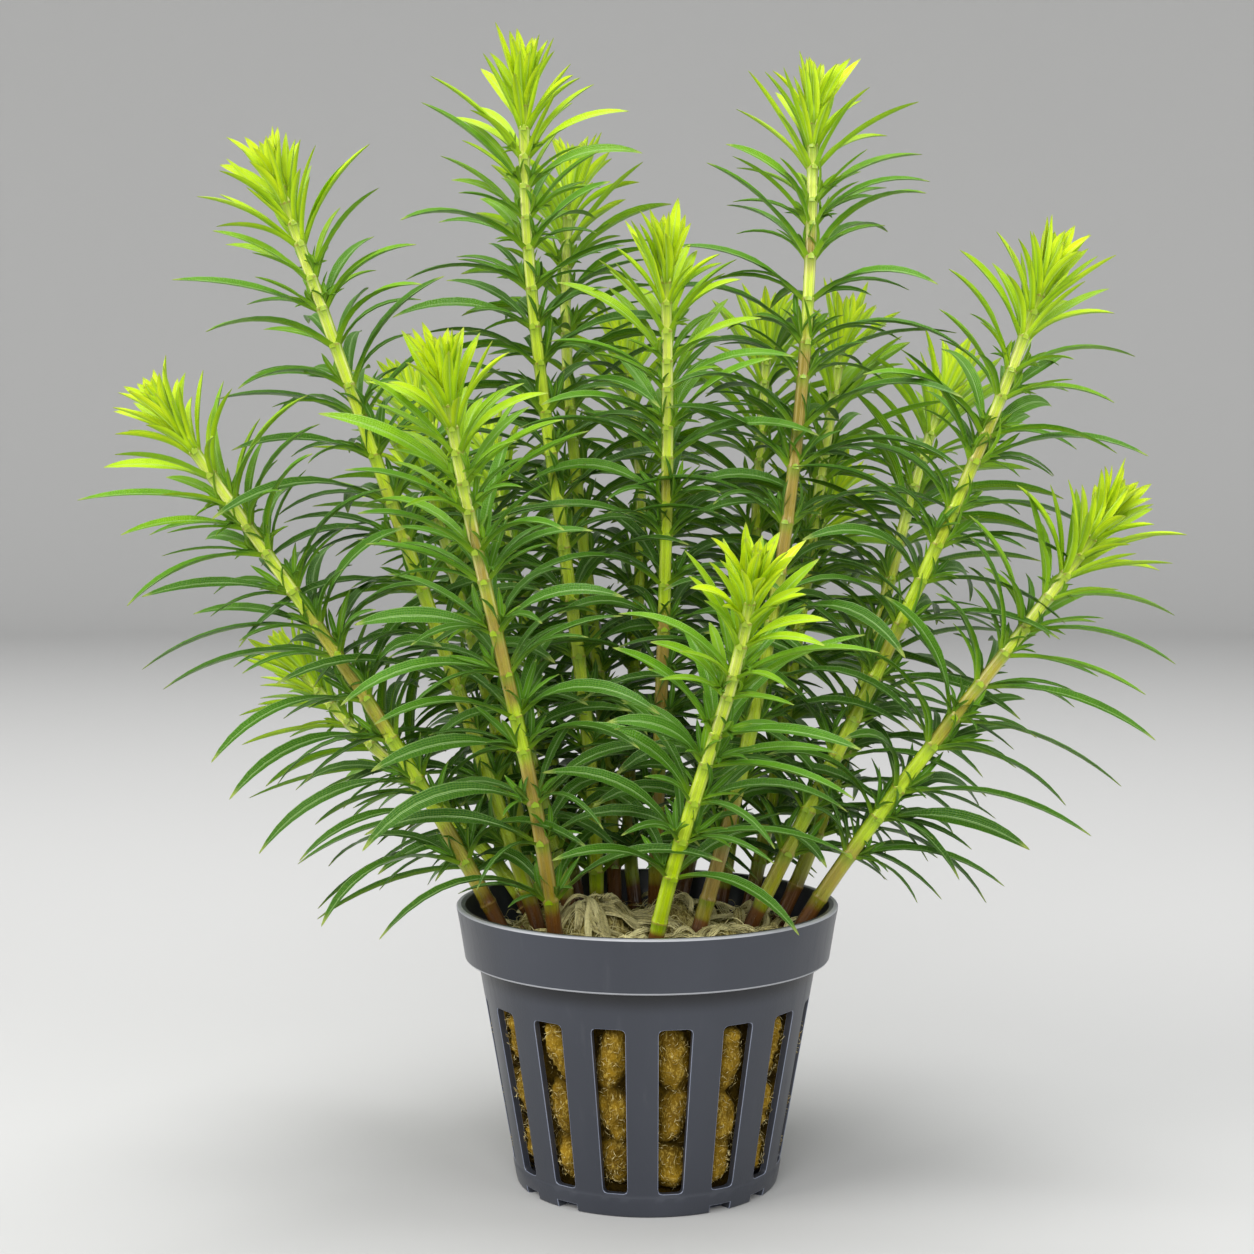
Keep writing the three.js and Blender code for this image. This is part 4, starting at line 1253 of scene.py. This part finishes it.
def build_stems():
    """Each stem as one piece: its stalk, its bud and a whorl at each node above the pot."""
    materials = [leaf_material(), stalk_material()]
    for stem, points in enumerate(STEMS):
        curve = Curve(*points)
        skin = Skin(["blade", "age", "tint"])
        most = int(curve.length / 3)
        nodes = [n for n in range(1, most) if node_distance(stem, n) < curve.length - 1]
        add_stalk(skin, stem, curve, nodes)
        add_bud(skin, stem, curve)
        for node in nodes:
            if curve.place(node_distance(stem, node))[0][2] > LOWEST_LEAF:
                add_whorl(skin, stem, node, curve)
        name = f"stem_{stem + 1:02d}"
        piece(name + "_leafy", skin.mesh(name + "_leafy", materials, sharp=55), name)


def build_floor():
    """A round pale floor that curves up into a wall on all sides."""
    material = Nodes("studio_floor").finish((0.53, 0.53, 0.525), 0.9, specular=0.1)
    bend = arc((FLOOR_RADIUS, FLOOR_BEND), FLOOR_BEND, -90, 0, BEND_STEPS)
    profile = [(FLOOR_RADIUS / 4, 0.0), *bend, (FLOOR_RADIUS + FLOOR_BEND, STUDIO_WALL_TOP)]
    points = [about_axis(round_angles(FLOOR_SIDES), radius, z) for radius, z in profile]
    centre = len(profile) * FLOOR_SIDES
    skin = Skin()
    faces = [ring_faces(len(profile), FLOOR_SIDES)[:, ::-1], cap_faces(0, FLOOR_SIDES, centre)]
    skin.add(np.concatenate([*points, np.zeros((1, 3))]), faces)
    placed("studio_floor", skin.mesh("studio_floor", [material]))


def add_lights():
    """Area lights that all aim at the middle of the plant."""
    for name, place, size, power, colour in LIGHTS:
        light = bpy.data.lights.new(name, "AREA")
        light.shape = "RECTANGLE"
        light.size, light.size_y = size
        light.energy = power
        light.color = colour
        lamp = placed(name, light)
        lamp.location = place
        lamp.rotation_euler = (Vector(LIGHTS_AIM) - Vector(place)).to_track_quat("-Z", "Y").to_euler()


def build_studio():
    build_floor()
    add_lights()
    world = bpy.data.worlds.new("studio_air")
    world.use_nodes = True
    background = world.node_tree.nodes["Background"]
    background.inputs["Color"].default_value = (0.98, 0.99, 1.0, 1.0)
    background.inputs["Strength"].default_value = 0.3
    bpy.context.scene.world = world
    bpy.context.scene.view_settings.view_transform = "Standard"
    camera = bpy.data.cameras.new("photo_camera")
    camera.lens = LENS
    camera.sensor_width = 36.0
    camera.clip_start = 0.01
    camera.clip_end = 20.0
    eye = placed("photo_camera", camera)
    eye.location = CAMERA_PLACE
    eye.rotation_euler = (math.pi / 2 - CAMERA_DOWN, 0.0, CAMERA_LEFT)
    bpy.context.scene.camera = eye


build_studio()
build_pot()
build_wool()
build_stems()
